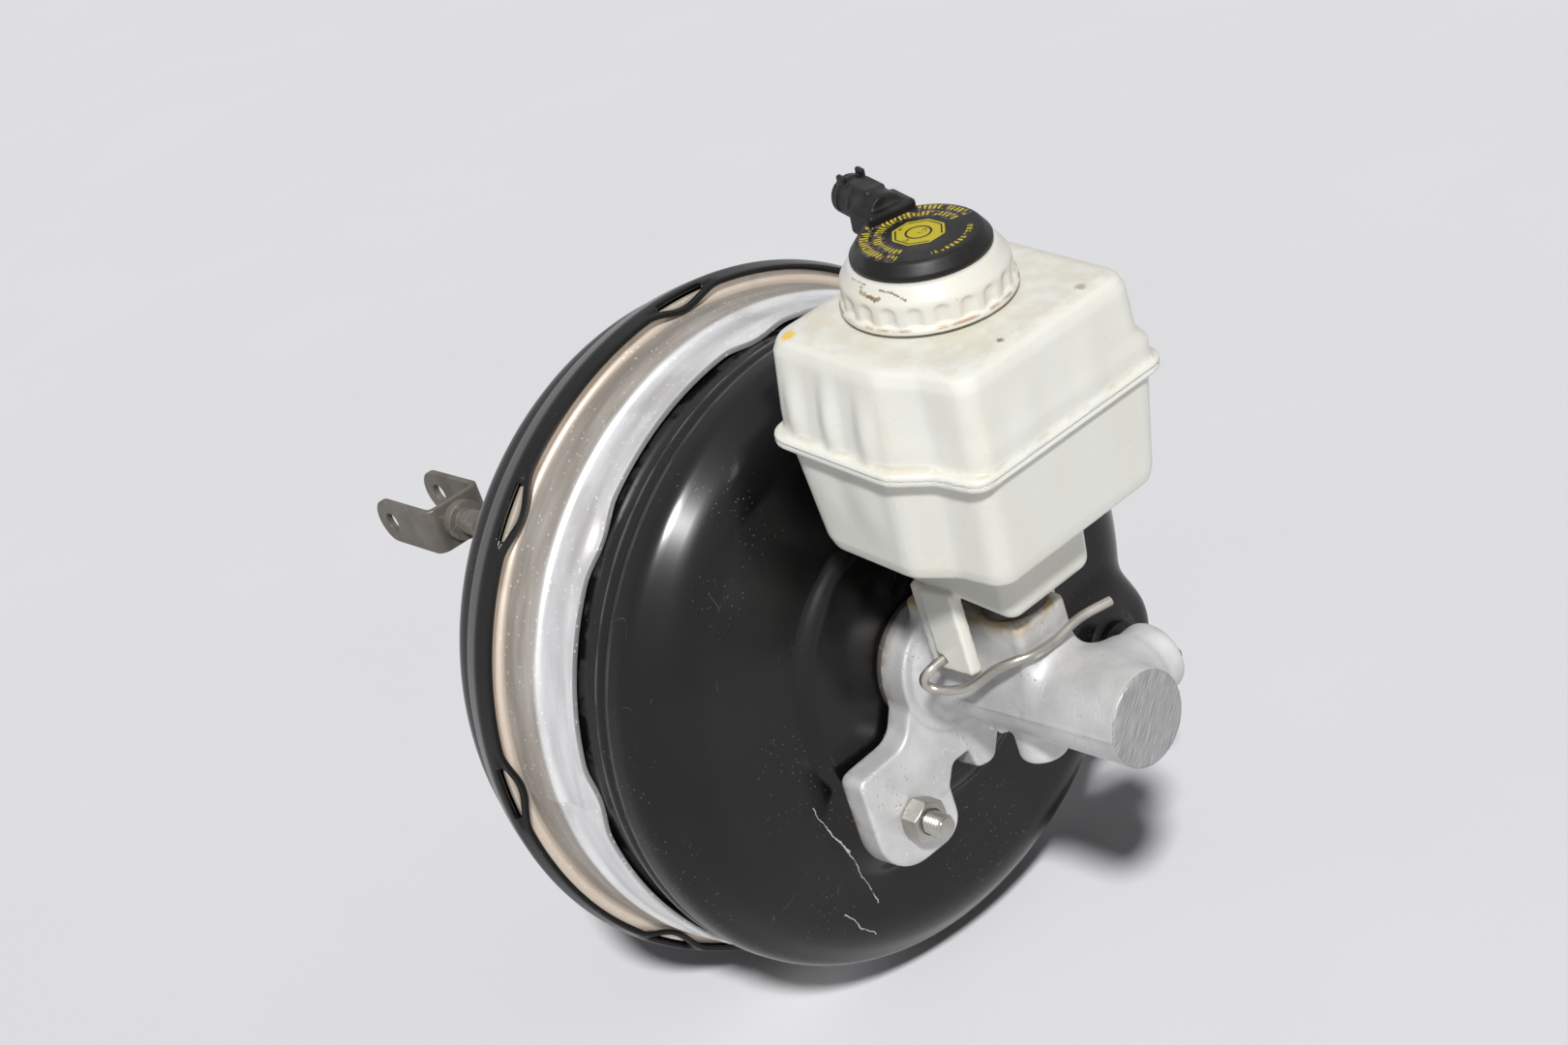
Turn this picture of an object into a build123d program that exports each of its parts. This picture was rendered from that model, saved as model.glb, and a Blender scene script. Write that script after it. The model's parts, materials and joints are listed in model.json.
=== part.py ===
from build123d import *
import math
import os

# Tandem vacuum brake booster with master cylinder and fluid reservoir, in millimetres.
# +X runs along the booster axis from the pedal to the master cylinder, +Z points up to
# the reservoir, and the origin is on the axis at the face that meets the bulkhead.

# ------------------------------------------------------------------ driving sizes
# Fits
RUN = 0.05                # running fit, on the radius
SNUG = 0.1                # between pieces that are clamped or pushed together
PASS = 0.3                # between pieces that pass each other
STROKE = 30.0             # travel of the power piston

# Rear shell
REAR_SKIN = 1.9
TUBE_R = 19.0             # rear tube of the valve body, guided by the neck seal
NECK_ROOM = 7.0           # from the tube to the outside of the neck, seal and sheet together
NECK_R = TUBE_R + NECK_ROOM
NECK_LENGTH = 16.0
BACK_R = 66.0             # flat back that meets the bulkhead
RIM_R = 121.6             # widest point of the rim
RIM_SWELL = 6.6           # step from the plain cylinder out to the rim
CAN_R = RIM_R - RIM_SWELL
CAN_X = 54.0              # front end of the plain cylinder
LIP_X = 72.5              # front edge of the crimped lip
LIP_DRAW = 1.4            # how far the lip is drawn in from the rim
LIP_R = RIM_R - LIP_DRAW

# Crimps: strips of the lip lanced free and bowed inward
CRIMPS = 8
CRIMP_CLOCK = 88.5        # degrees from +Y towards +Z
CRIMP_HALF = 7.6          # half of the angle each strip spans
LIP_STRIP = 2.3           # width of a strip along X
LIP_BOW = 3.2
BAND_STRIP = 5.0
BAND_BOW = 2.0
SLIT = 1.8                # slit left behind a strip
STRIP_SINK = 0.15         # how far a strip lies below the edge it springs from
FLANGE_GAP = 0.5          # between the lip strips and the flange they hold

# Aluminium centre shell
CENTRE_SKIN = 1.8
FLANGE_R = LIP_R - REAR_SKIN - SNUG   # flange held under the rear lip
KNEE_R = FLANGE_R - 4.2   # foot of that flange
SATIN_X = 87.4            # end of the wide rear band
SATIN_R = KNEE_R - 1.3
BAND_R = SATIN_R - 1.5    # narrow front band
BAND_X = 105.0            # its free edge

# Front shell
FRONT_SKIN = 1.8
FRONT_FLANGE_X = 99.0
WALL_R = BAND_R - 6.4     # wall ahead of the band
BEAD_R = WALL_R + 3.5     # pressed bead round the wall
SHOULDER_R = WALL_R + 1.8
SHOULDER_X = 129.5
FACE_X = 139.5            # broad front face
FACE_R = WALL_R - 11.8
PLATEAU_X = 143.0         # raised middle of the face
PLATEAU_R = 48.5
PAD_X = 147.0             # pads the master cylinder stands on
PAD_R = 14.5
LOBE_R = 18.0
TURRET_Y = 78.8           # pressed boss for the check valve
TURRET_Z = -44.7
TURRET_R = 21.5
TURRET_X = 141.5

# Studs and nuts
STUD_R = 4.0
STUD_HEAD_R = 9.0
STUD_HEAD = 3.0
KNURL = 0.6               # extra radius of a rear stud where it is pressed into the sheet
BULKHEAD_Y = 40.0         # half spacing of the rear studs
BULKHEAD_Z = 30.0
BULKHEAD_STUD = 22.0      # length behind the back face
FRONT_STUD_Y = 32.0       # the two front studs stand at +(Y, Z) and -(Y, Z)
FRONT_STUD_Z = 39.0
FRONT_STUD = 14.5         # length ahead of the master cylinder flange
NUT_FLATS = 13.0
NUT_HEIGHT = 7.5

# Power piston, a moulded valve body
TUBE_REAR_X = -46.0
BORE_R = 15.5             # filter bore inside the rear tube
SEAT_X = 42.0             # rear face of the flange that carries the rear plate
SEAT_R = 30.0
SEAT_T = 4.0
HUB_R = 24.0              # middle tube, guided by the divider seal
HUB_X = 92.0
NOSE_R = 22.0             # nose that carries the front plate
NOSE_X = 98.0
CAVITY_R = 19.5
CAVITY_X = 64.0
POCKET_R = 14.0           # pocket of the reaction disc
POCKET_X = 56.0
GUIDE_R = 8.5             # bore of the air valve
WEB_X = 8.0
NOZZLE_R = 4.6            # outside radius of the vacuum nozzle, which the hose grips
VALVE_SEAT_R = 10.3
VALVE_TRAVEL = 1.5

# Piston plates, divider and diaphragms
PLATE_T = 1.6
PLATE_BEND = 5.0
REAR_PLATE_R = CAN_R - 25.0
FRONT_PLATE_R = WALL_R - 22.8
DIVIDER_T = 1.5
DIVIDER_X = 81.0
DIVIDER_HUB_R = 28.4
DIVIDER_RIM_R = BAND_R - CENTRE_SKIN - 0.8
RUBBER = 1.4

# Pedal rod and clevis
BALL_X = 12.0
BALL_R = 5.0
ROD_R = 5.25
ROD_NECK_R = 3.6
CLEVIS_X = -136.0         # outer face of the clevis base
CLEVIS_T = 3.0
CLEVIS_GAP = 22.0
CLEVIS_HEIGHT = 20.0
PIN_X = -170.0
PIN_R = 4.25

# Master cylinder casting
BORE = 11.1
CAST_R = 15.0
CAST_X = 239.0            # machined front end
CAST_END = 8.0            # thickness of the closed end
MOUNT_T = 9.5
DISC_R = 21.0
SPIGOT_R = 16.8
SPIGOT = 22.0             # length inside the booster
TOWER_BACK_X = 156.0
TOWER_FRONT_X = 205.5
TOWER_HALF = 11.0
TOWER_TOP = 30.5
SOCKET_R = 8.0
SOCKET_DEPTH = 8.5
SOCKETS_X = (167.5, 195.0)
OUTLET_X = 218.0          # outlet that points along +Y
OUTLET_R = 11.5
OUTLET_END = 30.0
SIDE_X = 189.0            # outlet that points along -Z
SIDE_R = 9.2
SIDE_END = 26.0
PORT_R = 5.5
PORT_DEPTH = 13.0

# Pistons of the master cylinder
PRIMARY_X = 118.0
PRIMARY = 42.0
SECONDARY_X = 177.0
SECONDARY = 33.0
GUIDE_T = 7.5             # guide bush in the spigot
RING_T = 1.6              # retaining ring behind the bush

# Reservoir, in its own frame: local zero is the top of the cap ring
TILT = 8.22               # degrees, leaning towards +X
TANK_ORIGIN = (199.8, 0.0, 148.5)
WALL = 2.2
WELD_Z = -46.4            # plane where the halves are welded
WELD_T = 2.0
TANK_TOP = -14.9
TANK_BOTTOM = -85.3
FOOT_BOTTOM = -108.2
FOOT_HALF = 18.1
FOOT_BACK = -25.3
FOOT_FRONT = 30.2
FILLER_R = 17.6
FILLER_TOP = -8.0
FILLER_WALL = 2.6
LEG_X = (172.0, 191.0)
LEG_BOTTOM = 15.5
LEG_T = 2.0
NIPPLE_R = 5.2
NIPPLE_Z = 24.5

# Cap, level sensor and strainer
DISC_CAP_R = 20.3
DISC_CAP_TOP = 5.0
RING_R = 25.6
RING_Z = -13.6
RING_GRIPS = 20
STEM_R = 3.6
STEM_Z = -78.0
FLOAT_R = 12.0
FLOAT_T = 13.0
FLOAT_TRAVEL = 18.0
STRAINER_T = 0.9
STRAINER_Z = -80.5
PLUG_TURN = 12.5          # degrees the connector is turned from local -X to +Y
PLUG_R = 6.0
PLUG_Z = 6.2
PLUG_REACH = 36.5

# Clip that holds the reservoir
CLIP_R = 1.5
CLIP_X = 179.0
CLIP_Z = 19.0

# ------------------------------------------------------------------ construction aids
TANK = Plane(
    origin=TANK_ORIGIN,
    x_dir=(math.cos(math.radians(TILT)), 0, -math.sin(math.radians(TILT))),
    z_dir=(math.sin(math.radians(TILT)), 0, math.cos(math.radians(TILT))),
)


def corner_arc(before, corner, after, radius):
    """Start, middle and end of the arc that rounds one corner."""
    back = (before - corner).normalized()
    ahead = (after - corner).normalized()
    half = math.acos(back.dot(ahead)) / 2
    reach = radius / math.tan(half)
    middle = corner + (back + ahead).normalized() * (radius / math.sin(half) - radius)
    return corner + back * reach, middle, corner + ahead * reach


def rounded(points, radii):
    """Edges through the points, with each inner corner rounded to its radius."""
    knots = [Vector(*point) for point in points]
    edges = []
    start = knots[0]
    for before, corner, after, radius in zip(knots, knots[1:], knots[2:], radii):
        if radius > 0:
            first, middle, last = corner_arc(before, corner, after, radius)
        else:
            first, middle, last = corner, corner, corner
        if (first - start).length > 1e-6:
            edges.append(Line(start, first))
        if radius > 0:
            edges.append(ThreePointArc(first, middle, last))
        start = last
    edges.append(Line(start, knots[-1]))
    return edges


def loop(points, radii):
    """A face inside a closed outline, with one radius for each corner."""
    middle = ((points[-1][0] + points[0][0]) / 2, (points[-1][1] + points[0][1]) / 2)
    return make_face(rounded([middle] + list(points) + [middle], radii))


def moved_right(points, distance):
    """The same open path moved to its right, with its corners mitred."""
    knots = [Vector(*point) for point in points]
    normals = []
    for a, b in zip(knots, knots[1:]):
        along = (b - a).normalized()
        normals.append(Vector(along.Y, -along.X))
    shifted = [knots[0] + normals[0] * distance]
    for knot, n, m in zip(knots[1:], normals, normals[1:]):
        shifted.append(knot + (n + m) * (distance / (1 + n.dot(m))))
    shifted.append(knots[-1] + normals[-1] * distance)
    return [(knot.X, knot.Y) for knot in shifted]


def radii_right(points, radii, distance):
    """Corner radii of the path once it is moved to its right."""
    knots = [Vector(*point) for point in points]
    moved = []
    for a, b, c, radius in zip(knots, knots[1:], knots[2:], radii):
        turn = (b - a).cross(c - b).Z
        moved.append(radius + math.copysign(distance, turn))
    return moved


def strip_face(points, radii, thickness):
    """The section of a sheet that lies to the right of a path."""
    other = moved_right(points, thickness)
    other_radii = radii_right(points, radii, thickness)
    edges = rounded(points, radii)
    edges.append(Line(points[-1], other[-1]))
    edges += rounded(other[::-1], other_radii[::-1])
    edges.append(Line(other[0], points[0]))
    return make_face(edges)


def sheet(points, radii, thickness):
    """A sheet turned about the X axis from a path of (x, r) points."""
    return revolve(strip_face(points, radii, thickness), Axis.X)


def turned(points, radii=None):
    """A solid turned about the X axis from a closed outline of (x, r) points."""
    return revolve(loop(points, radii or [0] * len(points)), Axis.X)


def spun(points, radii=None):
    """A solid turned about the Z axis from a closed outline of (r, z) points."""
    return revolve(Plane.XZ * loop(points, radii or [0] * len(points)), Axis.Z)


def rod(radius, start, end):
    """A round bar between two points."""
    span = Vector(*end) - Vector(*start)
    seat = (Align.CENTER, Align.CENTER, Align.MIN)
    return Plane(origin=start, z_dir=span) * Cylinder(radius, span.length, align=seat)


def block(low, high):
    """A box between two opposite corners."""
    size = Vector(*high) - Vector(*low)
    seat = (Align.MIN, Align.MIN, Align.MIN)
    return Pos(*low) * Box(size.X, size.Y, size.Z, align=seat)


def polar(radius, degrees):
    """A (y, z) point at a clock angle."""
    angle = math.radians(degrees)
    return (radius * math.cos(angle), radius * math.sin(angle))


def across(face, start, end):
    """A (y, z) outline stretched from one x station to another."""
    return extrude(Plane.YZ.offset(start) * face, end - start)


def coil(start, end, first_r, last_r, wire_r, turns):
    """A compression spring along X, wound from one radius to another."""
    steps = round(turns * 12)
    points = []
    for step in range(steps + 1):
        share = step / steps
        y, z = polar(first_r + (last_r - first_r) * share, 360 * turns * share)
        points.append((start + wire_r + (end - start - 2 * wire_r) * share, y, z))
    path = Spline(points)
    return sweep(Plane(origin=path @ 0, z_dir=path % 0) * Circle(wire_r), path=path)


def save(name, shape):
    """Write one piece under its own name."""
    shape.label = name
    export_step(shape, f"parts/{name}.step")


os.makedirs("parts", exist_ok=True)


# ------------------------------------------------------------------ vacuum housing
def crimp_angles():
    """Clock angles of the crimps."""
    return [CRIMP_CLOCK + 360 * k / CRIMPS for k in range(CRIMPS)]


def bowed_strip(radius, bow, skin, start, end, clock):
    """A strip of sheet that follows the edge and dips inward in its middle."""
    outer = []
    inner = []
    for step in range(-10, 11):
        share = step / 9
        dip = bow * math.cos(math.pi / 2 * min(abs(share), 1)) ** 2
        angle = clock + CRIMP_HALF * share
        outer.append(polar(radius - dip, angle))
        inner.append(polar(radius - dip - skin, angle))
    sides = [Line(outer[-1], inner[-1]), Line(inner[0], outer[0])]
    face = make_face([Spline(outer), sides[0], Spline(inner[::-1]), sides[1]])
    return across(face, start, end)


def wedge(radius, depth, start, end, clock):
    """The bite taken out of an edge where a strip is bowed."""
    low = radius - depth
    high = radius + depth
    points = [polar(low, clock - CRIMP_HALF), polar(high, clock - CRIMP_HALF)]
    points += [polar(high, clock + CRIMP_HALF), polar(low, clock + CRIMP_HALF)]
    return across(loop(points, [0] * 4), start, end)


def crimped(shell, radius, bow, skin, width, edge_x):
    """The shell with strips of its front edge lanced and bowed inward."""
    for clock in crimp_angles():
        shell -= wedge(radius, 6, edge_x - width - SLIT, edge_x + 2, clock)
    for clock in crimp_angles():
        shell += bowed_strip(radius, bow, skin, edge_x - width, edge_x, clock)
    return shell


def rear_shell():
    """Black steel pan: neck, flat back, cone, cylinder, rim and crimped lip."""
    path = [
        (-NECK_LENGTH, NECK_R),
        (0, NECK_R),
        (0, BACK_R),
        (14, BACK_R + 24),
        (CAN_X - 7.5, CAN_R),
        (CAN_X, CAN_R),
        (CAN_X + 3.5, RIM_R - 2.9),
        (LIP_X - 6, RIM_R),
        (LIP_X, LIP_R),
    ]
    shell = sheet(path, [2, 10, 24, 14, 2.5, 3, 5], REAR_SKIN)
    shell = crimped(shell, LIP_R - STRIP_SINK, LIP_BOW, REAR_SKIN, LIP_STRIP, LIP_X)
    for y in (-BULKHEAD_Y, BULKHEAD_Y):
        for z in (-BULKHEAD_Z, BULKHEAD_Z):
            shell -= rod(STUD_R + KNURL + SNUG, (-1, y, z), (REAR_SKIN + 1, y, z))
    return shell


def centre_shell():
    """Aluminium ring that joins the two black shells."""
    flange_x = LIP_X - LIP_STRIP - FLANGE_GAP
    path = [
        (flange_x, FLANGE_R),
        (flange_x, KNEE_R),
        (SATIN_X, SATIN_R),
        (SATIN_X + 1.3, BAND_R),
        (BAND_X, BAND_R - 0.2),
    ]
    shell = sheet(path, [2.2, 1.2, 2.4], CENTRE_SKIN)
    strip_r = BAND_R - 0.2 - STRIP_SINK
    return crimped(shell, strip_r, BAND_BOW, CENTRE_SKIN, BAND_STRIP, BAND_X)


def front_path():
    """Outside of the front shell from its flange to the middle of its face."""
    points = [
        (FRONT_FLANGE_X, BAND_R - CENTRE_SKIN - 0.5),
        (FRONT_FLANGE_X, WALL_R + 1.7),
        (FRONT_FLANGE_X + 13.5, WALL_R),
        (FRONT_FLANGE_X + 16.5, BEAD_R),
        (FRONT_FLANGE_X + 19.3, BEAD_R - 1.6),
        (FRONT_FLANGE_X + 22, BEAD_R - 0.4),
        (SHOULDER_X, SHOULDER_R),
        (FACE_X, FACE_R),
        (FACE_X, PLATEAU_R + 4),
        (PLATEAU_X, PLATEAU_R),
        (PLATEAU_X, 0),
    ]
    return points, [2.4, 2.6, 2.4, 3, 3, 10, 16, 5, 5]


def lobe_face(radius, x):
    """The raised bar that runs from one front stud to the other."""
    length = 2 * math.hypot(FRONT_STUD_Y, FRONT_STUD_Z)
    turn = math.degrees(math.atan2(FRONT_STUD_Z, FRONT_STUD_Y))
    slot = Rot(0, 0, turn) * SlotCenterToCenter(length, 2 * radius)
    return Plane.YZ.offset(x) * slot


def front_studs():
    """(y, z) of the two studs that hold the master cylinder."""
    return [(FRONT_STUD_Y, FRONT_STUD_Z), (-FRONT_STUD_Y, -FRONT_STUD_Z)]


def turret(inset):
    """Pressed boss of the check valve, moved inward by the inset."""
    path = [
        (TURRET_X - 19, TURRET_R - 12),
        (TURRET_X - 8, TURRET_R),
        (TURRET_X - 2.5, TURRET_R),
        (TURRET_X, TURRET_R - 3),
        (TURRET_X, 0),
    ]
    side = moved_right(path, inset)
    boss = turned(side[:-1] + [(side[-1][0], 0), (side[0][0], 0)])
    return Pos(0, TURRET_Y, TURRET_Z) * boss


def front_form(inset):
    """The outside of the front shell as a filled form, moved inward by the inset."""
    path, radii = front_path()
    side = moved_right(path, inset)
    bends = radii_right(path, radii, inset)
    side[-1] = (side[-1][0], 0)
    if inset > 0:
        side[0] = (FRONT_FLANGE_X - 12, side[1][1])
        side[1] = (FRONT_FLANGE_X, side[1][1] - inset / 20)
        bends[0] = 0
    form = turned(side + [(side[0][0], 0)], [0] + bends + [0, 0])
    lobes = [lobe_face(LOBE_R + 7 - inset, PLATEAU_X - 10 - inset)]
    lobes.append(lobe_face(LOBE_R - inset / 2, PLATEAU_X - inset))
    form += loft(lobes)
    for y, z in front_studs():
        pad = turned([(PLATEAU_X - 6, 0), (PLATEAU_X - 6, PAD_R + 8 - inset),
                      (PAD_X - inset, PAD_R - inset / 2), (PAD_X - inset, 0)])
        form += Pos(0, y, z) * pad
    return form + turret(inset)


def front_shell():
    """Black steel dome with the stud pads and the check valve turret pressed in."""
    shell = front_form(0) - front_form(FRONT_SKIN)
    shell -= rod(SPIGOT_R + 0.4, (PLATEAU_X - 9, 0, 0), (PAD_X + 1, 0, 0))
    for y, z in front_studs():
        shell -= rod(STUD_R + 0.2, (PAD_X - 4, y, z), (PAD_X + 1, y, z))
    hole = (TURRET_X - 4, TURRET_Y, TURRET_Z), (TURRET_X + 1, TURRET_Y, TURRET_Z)
    return shell - rod(10, *hole)


def bulkhead_studs():
    """Four studs pressed through the back of the rear shell."""
    studs = []
    for y in (-BULKHEAD_Y, BULKHEAD_Y):
        for z in (-BULKHEAD_Z, BULKHEAD_Z):
            stud = turned([
                (-BULKHEAD_STUD, 0),
                (-BULKHEAD_STUD, STUD_R - 0.8),
                (-BULKHEAD_STUD + 0.8, STUD_R),
                (0, STUD_R),
                (0, STUD_R + KNURL),
                (REAR_SKIN + SNUG, STUD_R + KNURL),
                (REAR_SKIN + SNUG, STUD_HEAD_R),
                (REAR_SKIN + SNUG + STUD_HEAD, STUD_HEAD_R),
                (REAR_SKIN + SNUG + STUD_HEAD, 0),
            ])
            studs.append(Pos(0, y, z) * stud)
    return Compound(children=studs)


def master_cylinder_studs():
    """Two studs pressed out through the pads of the front shell."""
    head_x = PAD_X - FRONT_SKIN - SNUG
    tip_x = PAD_X + MOUNT_T + FRONT_STUD
    studs = []
    for y, z in front_studs():
        stud = turned([
            (head_x - STUD_HEAD, 0),
            (head_x - STUD_HEAD, STUD_HEAD_R),
            (head_x, STUD_HEAD_R),
            (head_x, STUD_R),
            (tip_x - 0.8, STUD_R),
            (tip_x, STUD_R - 0.8),
            (tip_x, 0),
        ])
        studs.append(Pos(0, y, z) * stud)
    return Compound(children=studs)


def flange_nuts():
    """Two hexagon nuts with chamfered corners on the front studs."""
    seat_x = PAD_X + MOUNT_T + SNUG
    nuts = []
    for y, z in front_studs():
        hexagon = RegularPolygon(NUT_FLATS / 2, 6, major_radius=False)
        nut = across(hexagon, seat_x, seat_x + NUT_HEIGHT)
        corner = NUT_FLATS / math.sqrt(3)
        nut &= turned([
            (seat_x, 0),
            (seat_x, corner),
            (seat_x + NUT_HEIGHT - 0.9, corner + 0.1),
            (seat_x + NUT_HEIGHT, corner - 1.0),
            (seat_x + NUT_HEIGHT, 0),
        ])
        nut -= rod(STUD_R + RUN, (seat_x - 1, 0, 0), (seat_x + NUT_HEIGHT + 1, 0, 0))
        nuts.append(Pos(0, y, z) * nut)
    return Compound(children=nuts)


def neck_seal():
    """Lipped bearing seal in the neck of the rear shell."""
    outside = NECK_R - REAR_SKIN - SNUG
    lip = TUBE_R + RUN
    return turned([
        (-13, lip), (-13, outside), (-3, outside), (-3, outside - 1.6),
        (-6, lip + 2.0), (-9.5, lip + 1.6), (-9.5, lip),
    ])


def divider_plate():
    """Fixed wall between the two vacuum chambers."""
    path = [
        (DIVIDER_X, DIVIDER_HUB_R),
        (DIVIDER_X, DIVIDER_RIM_R - 7),
        (DIVIDER_X + 5, DIVIDER_RIM_R),
        (HUB_X, DIVIDER_RIM_R),
    ]
    return sheet(path, [6, 3], DIVIDER_T)


def divider_seal():
    """Grooved seal in the divider, running on the middle tube."""
    groove = DIVIDER_HUB_R - SNUG
    lip = HUB_R + RUN
    return turned([
        (DIVIDER_X - 2.5, lip), (DIVIDER_X - 2.5, groove + 3),
        (DIVIDER_X - SNUG, groove + 3), (DIVIDER_X - SNUG, groove),
        (DIVIDER_X + DIVIDER_T + SNUG, groove),
        (DIVIDER_X + DIVIDER_T + SNUG, groove + 3),
        (DIVIDER_X + DIVIDER_T + 2.5, groove + 3),
        (DIVIDER_X + DIVIDER_T + 3.5, lip + 2), (DIVIDER_X + DIVIDER_T + 3.5, lip),
    ])


# ------------------------------------------------------------------ power piston group
def rear_plate_path():
    """Front surface of the rear piston plate."""
    x = SEAT_X - SNUG
    return [(x, TUBE_R + SNUG), (x, REAR_PLATE_R), (x + 7, REAR_PLATE_R + 5)]


def front_plate_path():
    """Front surface of the front piston plate."""
    x = HUB_X + SNUG + PLATE_T
    return [(x, NOSE_R + SNUG), (x, FRONT_PLATE_R), (x + 7, FRONT_PLATE_R + 6)]


def rear_diaphragm():
    """Rolling diaphragm behind the rear plate, beaded under the rim."""
    back = moved_right(rear_plate_path(), -PLATE_T - SNUG)
    bead_x = LIP_X - LIP_STRIP - FLANGE_GAP - CENTRE_SKIN - PASS
    bends = radii_right(rear_plate_path(), [PLATE_BEND], -PLATE_T - SNUG)
    roll = [
        (back[2][0] + 4.2, back[2][1] + 3),
        (back[2][0] + 1, CAN_R - REAR_SKIN - 4),
        (bead_x - 3, CAN_R - REAR_SKIN),
    ]
    path = [(back[0][0], TUBE_R + 2.5), back[1]] + roll
    rubber = sheet(path, bends + [3, 3], -RUBBER)
    rubber += turned([
        (bead_x - 7, CAN_R - 2.6), (bead_x - 7, RIM_R - 4.9),
        (bead_x, RIM_R - 4.6), (bead_x, CAN_R - 2.6),
    ])
    hub = back[0][0]
    rubber += turned([
        (hub - 5, TUBE_R + SNUG), (hub - 5, TUBE_R + 5),
        (hub, TUBE_R + 5), (hub, TUBE_R + SNUG),
    ])
    return rubber


def front_diaphragm():
    """Rolling diaphragm behind the front plate, beaded under the front flange."""
    back = moved_right(front_plate_path(), -PLATE_T - SNUG)
    bead_x = FRONT_FLANGE_X - FRONT_SKIN - PASS
    bends = radii_right(front_plate_path(), [PLATE_BEND], -PLATE_T - SNUG)
    roll = [
        (back[2][0] + 3.5, back[2][1] + 3),
        (back[2][0], WALL_R - 5.5),
        (bead_x - 2, WALL_R - 2),
    ]
    path = [(back[0][0], HUB_R + 2), back[1]] + roll
    rubber = sheet(path, bends + [2.5, 2], -RUBBER)
    rubber += turned([
        (HUB_X + 0.6, WALL_R - 3), (HUB_X + 0.6, DIVIDER_RIM_R),
        (bead_x, DIVIDER_RIM_R), (bead_x, WALL_R - 3),
    ])
    hub = back[0][0]
    rubber += turned([
        (hub - 4, HUB_R + SNUG), (hub - 4, HUB_R + 4),
        (hub, HUB_R + 4), (hub, HUB_R + SNUG),
    ])
    return rubber


def power_piston():
    """Moulded valve body that carries both plates."""
    body = turned([
        (TUBE_REAR_X, BORE_R), (TUBE_REAR_X, TUBE_R), (SEAT_X, TUBE_R),
        (SEAT_X, SEAT_R), (SEAT_X + SEAT_T, SEAT_R), (SEAT_X + SEAT_T, HUB_R),
        (HUB_X, HUB_R), (HUB_X, NOSE_R), (NOSE_X, NOSE_R), (NOSE_X, CAVITY_R),
        (CAVITY_X, CAVITY_R), (CAVITY_X, POCKET_R), (POCKET_X, POCKET_R),
        (POCKET_X, 5.4), (POCKET_X - 3, 5.4), (POCKET_X - 3, GUIDE_R),
        (WEB_X, GUIDE_R), (WEB_X, VALVE_SEAT_R - 0.7),
        (WEB_X - 2, VALVE_SEAT_R - 0.7), (WEB_X - 2, VALVE_SEAT_R + 0.7),
        (WEB_X, VALVE_SEAT_R + 0.7), (WEB_X, BORE_R),
    ])
    return body - key_slot()


def key_slot():
    """Slot through the valve body for the stop key."""
    return block((23.8, -TUBE_R - 1, -5.4), (26.2, TUBE_R + 1, 9.9))


def stop_key():
    """Forked key that limits the air valve."""
    key = block((24, -TUBE_R + 3.5, -5), (26, TUBE_R - 3.5, 9.5))
    return key - block((23, -6, -6), (27, 6, 1)) - rod(6, (23, 0, 0), (27, 0, 0))


def air_valve_plunger():
    """Air valve with the socket of the pedal rod at its rear."""
    radius = GUIDE_R - RUN
    plunger = turned([
        (WEB_X - 1.6, BALL_R + 0.3), (WEB_X - 1.6, radius), (22, radius), (22, 5.6),
        (28, 5.6), (28, radius), (POCKET_X - 6, radius), (POCKET_X - 6, 5),
        (POCKET_X - 1.8, 5), (POCKET_X - 1.8, 0), (BALL_X, 0), (BALL_X, BALL_R + 0.3),
    ])
    return plunger - Pos(BALL_X, 0, 0) * Sphere(BALL_R + RUN)


def valve_poppet():
    """Rubber poppet that closes on the valve body and on the air valve."""
    return turned([
        (-15, 6.5), (-15, BORE_R - PASS), (-13, BORE_R - PASS), (-13, 11), (3, 11),
        (3, VALVE_SEAT_R + 2.5), (WEB_X - 2.1, VALVE_SEAT_R + 2.5), (WEB_X - 2.1, 6.2),
        (3, 6.2), (3, 9.8), (-13, 9.8), (-13, 6.5),
    ])


def air_filter():
    """Foam ring at the open end of the rear tube."""
    return turned([
        (TUBE_REAR_X + 0.5, 9), (TUBE_REAR_X + 0.5, BORE_R - SNUG),
        (TUBE_REAR_X + 9, BORE_R - SNUG), (TUBE_REAR_X + 9, 9),
    ])


def dust_boot():
    """Rubber bellows from the neck to the pedal rod."""
    path = [
        (-3, NECK_R + 1.3), (-NECK_LENGTH - 2.2, NECK_R + 1.3),
        (-21.5, TUBE_R + 4.0), (-25, TUBE_R + 9.0), (-29.5, TUBE_R + 3.6),
        (-34, TUBE_R + 8.2), (-38.5, TUBE_R + 3.2), (-43, TUBE_R + 7.4),
        (-47.5, TUBE_R + 2.8), (-52, TUBE_R + 5.0), (-58, 8.2), (-66, ROD_R + 1.6),
    ]
    return sheet(path, [1.8] * 10, -1.2)


def input_rod():
    """Pedal rod with its ball, spring collar and riveted rear end."""
    base = CLEVIS_X - CLEVIS_T
    bar = turned([
        (base - 3, 0), (base - 3, ROD_R), (base - SNUG, ROD_R + 2.2),
        (base - SNUG, ROD_R), (CLEVIS_X + SNUG, ROD_R), (CLEVIS_X + SNUG, 9),
        (CLEVIS_X + 4, 8.2), (CLEVIS_X + 4, ROD_R), (-33.5, ROD_R), (-33.5, 8),
        (-32, 8), (-32, ROD_R - 1), (-28, ROD_NECK_R), (BALL_X, ROD_NECK_R),
        (BALL_X, 0),
    ])
    return bar + Pos(BALL_X, 0, 0) * Sphere(BALL_R)


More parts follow.
